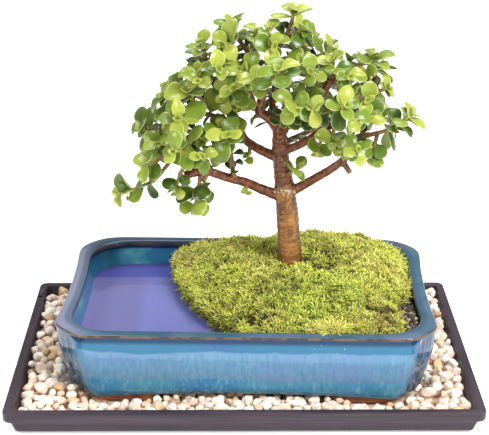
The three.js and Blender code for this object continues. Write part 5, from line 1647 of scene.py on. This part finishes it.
def twig_leaves(settle):
    """Small old leaves in pairs along the thinner limbs."""
    draw = draws(TWIG_SEED)
    for points, radii in LIMBS:
        fine = through(np.column_stack([np.array(points, float), radii]), 4)
        run = run_along(fine[:, :3])
        for place in np.arange(5, run[-1] - 2, TWIG_STEP):
            at = np.array([np.interp(place + 3 * next(draw), run, fine[:, k]) for k in range(4)])
            after = np.array([np.interp(place + 4, run, fine[:, k]) for k in range(3)])
            before = np.array([np.interp(place - 1, run, fine[:, k]) for k in range(3)])
            along = unit(after - before)
            across = unit(np.cross(along, [0.3, 0.2, 1]))
            third = np.cross(across, along)
            quarter = 2 * math.pi * next(draw)
            if at[3] > THICKEST_TWIG:
                continue
            for half in (0, math.pi):
                length = 8.5 + 5 * next(draw)
                for turn in TWIG_TRIES:
                    angle = quarter + half + turn
                    radial = across * math.cos(angle) + third * math.sin(angle)
                    out = radial + along * 0.35 + UP * 0.1
                    face = UP * 0.9 + along * 0.4 - radial * 0.2 + np.array([0, -0.35, 0])
                    leaf = Leaf(at[:3] + radial * at[3] * 0.7, out, face, length, length * 0.74)
                    if settle(leaf, "twigs", 4, OUTER_BLADE, 0.5):
                        break


def put_leaf(heap, leaf, age, blunt, cup, curl, thick, grid):
    """A thick leaf: a wedge at its foot, widest past its middle, its rim rounded."""
    rows, sides = grid
    t = (1 - np.cos(np.pi * np.arange(rows) / (rows - 1))) / 2
    share = np.clip(t, 0.004, 0.999)
    foot_power, tip_power = 1.2 - 0.3 * blunt, 0.74 - 0.24 * blunt
    peak = foot_power / (foot_power + tip_power)
    half = (share / peak) ** foot_power * ((1 - share) / (1 - peak)) ** tip_power
    half = np.maximum(half, 0.07 * (share < 0.5))
    angles = 2 * np.pi * np.arange(sides) / sides
    x = np.sign(np.cos(angles)) * np.abs(np.cos(angles)) ** 0.85
    z = np.sin(angles)
    across = half[:, None] * x
    swell = thick * (0.55 + 0.45 * np.sin(np.pi * share) ** 0.5) * np.minimum(1, half * 2.2)
    lift = (leaf_arch(share) + curl * share ** 3)[:, None] + cup * across ** 2 * 0.5
    lift = lift + z * swell[:, None] / 2
    points = leaf.at(np.broadcast_to(share[:, None], across.shape), across, lift).reshape(-1, 3)
    rim = np.maximum(np.abs(x) ** 4, np.clip((share[:, None] - 0.9) / 0.09, 0, 1) ** 2)
    a, b, c, d = grid_faces(rows, sides).T
    fan = np.arange(1, sides - 1)
    base = (rows - 1) * sides
    faces = np.concatenate([np.stack(corners, 1) for corners in (
        (a, b, c), (a, c, d), (0 * fan, fan + 1, fan),
        (base + 0 * fan, base + fan, base + fan + 1))])
    heap.put(points, faces[:, ::-1], age=age, rim=rim.ravel(),
             under=np.broadcast_to(np.where(z < -0.05, 1.0, 0.0), across.shape).ravel(),
             run=np.broadcast_to(share[:, None], across.shape).ravel())


def put_buds(heap, shoots, draw):
    """Four small unfolding leaves at the tip of each shoot."""
    for _, line, _, size in shoots:
        tip, way = line[2], unit(line[2] - line[1])
        side = unit(np.cross(way, draw.normal(size=3)))
        for turn, (length, spread) in enumerate(((7.5, side), (4.6, np.cross(way, side)))):
            for sign in (1, -1):
                grown = length * draw.uniform(0.8, 1.2) * size / 17
                out, face = way * 1.1 + spread * sign * 0.8, way - spread * sign * 0.6
                bud = Leaf(tip + way * turn * 0.8, out, face, grown, grown * 0.6)
                put_leaf(heap, bud, draw.uniform(0, 0.2), 0, 0.4, 0.05, 0.12, YOUNG_GRID)


def green_stems(shoots):
    """The shoots' stems, a little thicker where leaves sit."""
    heap = Heap("age")
    run = np.linspace(0, 1, 19)
    for _, line, pairs, _ in shoots:
        straight = np.array([along_shoot(line, share) for share in run])
        fine = straight * 0.75 + through(line, 9) * 0.25
        radii = np.interp(run, (0, 0.5, 1), (1.6, 1.3, 0.95))
        places = leaf_place(np.arange(pairs), pairs)
        node = np.exp(-((run[:, None] - places) / 0.05) ** 2).max(1)
        points, faces = tube(fine, radii * (1 + 0.22 * node), STEM_SIDES)
        age = np.r_[np.repeat(1 - run, STEM_SIDES), 1, 0]
        heap.put(points, triangles(faces), age=age)
    heap.piece("green_stems", green_stem(), "leaf")


def foliage():
    """The full leaves, the young ones with the buds, and the stems they sit on."""
    shoots = all_shoots()
    sprays = sorted({f"spray_{name}" for name, *_ in shoots})
    draw = np.random.default_rng(9)
    heaps = [Heap("age", "rim", "under", "run") for _ in range(2)]
    for heap, grid, group in zip(heaps, (LEAF_GRID, YOUNG_GRID), grow_leaves(shoots)):
        for leaf, rank in group:
            # Leaves low in the crown and towards its back get a higher age, which darkens them:
            # painted shade inside the crown.
            low = np.clip((190 - leaf.root[2]) / 60, 0, 1)
            behind = np.clip((leaf.root[1] - 5) / 50, 0, 1)
            age = 0.14 + 0.2 * rank + draw.normal(0, 0.16) + 0.1 * low + 0.25 * behind
            blunt = draw.uniform(0.3, 1) if rank else draw.uniform(0, 0.6)
            cup, curl = draw.uniform(-0.3, 0.55), draw.uniform(-0.34, 0.06)
            thick = draw.uniform(0.06, 0.095)
            put_leaf(heap, leaf, np.clip(age, 0, 1), blunt, cup, curl, thick, grid)
    put_buds(heaps[1], shoots, draw)
    finish = jade_leaf()
    heaps[0].piece("jade_leaves", finish, "leaf", sprays)
    heaps[1].piece("jade_young_leaves", finish, "leaf")
    green_stems(shoots)


# ------------------------------------------------------------------ camera, light and floor

LENS = 110.43
CAMERA_PLACE = (-0.010629, -0.994244, 0.476941)
CAMERA_TURN = (0.01138, 0.34965, 0.00283)     # yaw, pitch down and roll
FLOOR_HALF = 3.2
FLOOR_DROP = 0.0003
SKY_STRENGTH = 0.36

# Each light: its name, its place, where it points, its width and height, and its power.
LIGHTS = (
    ("key", (0.8, -0.85, 1.15), (0, 0, 0.12), 0.6, 0.6, 27),
    ("fill", (-1.0, -0.7, 0.9), (0, 0, 0.12), 0.5, 0.5, 9),
    ("top", (0.1, 0.5, 1.3), (0, 0, 0.1), 0.9, 0.6, 10),
)


def camera():
    data = bpy.data.cameras.new("camera")
    data.sensor_width = 36
    data.lens = LENS
    data.clip_end = 20
    made = in_scene("camera", data)
    yaw, pitch, roll = CAMERA_TURN
    ahead = np.array([math.sin(yaw) * math.cos(pitch), math.cos(yaw) * math.cos(pitch),
                      -math.sin(pitch)])
    right = np.array([math.cos(yaw), -math.sin(yaw), 0])
    up = np.cross(right, ahead)
    right, up = (math.cos(roll) * right + math.sin(roll) * up,
                 math.cos(roll) * up - math.sin(roll) * right)
    turn = Matrix((right, up, -ahead)).transposed().to_4x4()
    made.matrix_world = Matrix.Translation(CAMERA_PLACE) @ turn
    bpy.context.scene.camera = made


def soft_light(name, place, target, width, height, power):
    data = bpy.data.lights.new(name, "AREA")
    data.shape, data.size, data.size_y = "RECTANGLE", width, height
    data.energy = power
    made = in_scene(name, data)
    made.location = place
    made.rotation_mode = "QUATERNION"
    made.rotation_quaternion = (Vector(target) - Vector(place)).to_track_quat("-Z", "Y")


def studio():
    mesh = bpy.data.meshes.new("floor")
    corners = [(x * FLOOR_HALF, y * FLOOR_HALF, 0) for x, y in ((-1, -1), (1, -1), (1, 1), (-1, 1))]
    mesh.from_pydata(corners, [], [(0, 1, 2, 3)])
    mesh.materials.append(studio_floor())
    floor = in_scene("floor", mesh)
    floor.location.z = -FLOOR_DROP
    world = bpy.data.worlds.new("studio")
    world.use_nodes = True
    sky = world.node_tree.nodes["Background"].inputs
    sky["Color"].default_value = (1, 1, 1, 1)
    sky["Strength"].default_value = SKY_STRENGTH
    bpy.context.scene.world = world
    for light in LIGHTS:
        soft_light(*light)
    bpy.context.scene.view_settings.view_transform = "Standard"


# ------------------------------------------------------------------ all together

def drain_screens():
    """The screens over the drain holes keep their shape and get their plastic."""
    plastic = screen_plastic()
    for name in ("drain_screen_1", "drain_screen_2"):
        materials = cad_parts[name].data.materials
        materials.clear()
        materials.append(plastic)


camera()
humidity_tray()
glaze = blue_glaze()
pot(glaze)
divider(glaze)
pot_feet()
water()
soil()
moss()
pebbles()
wood()
foliage()
drain_screens()
studio()
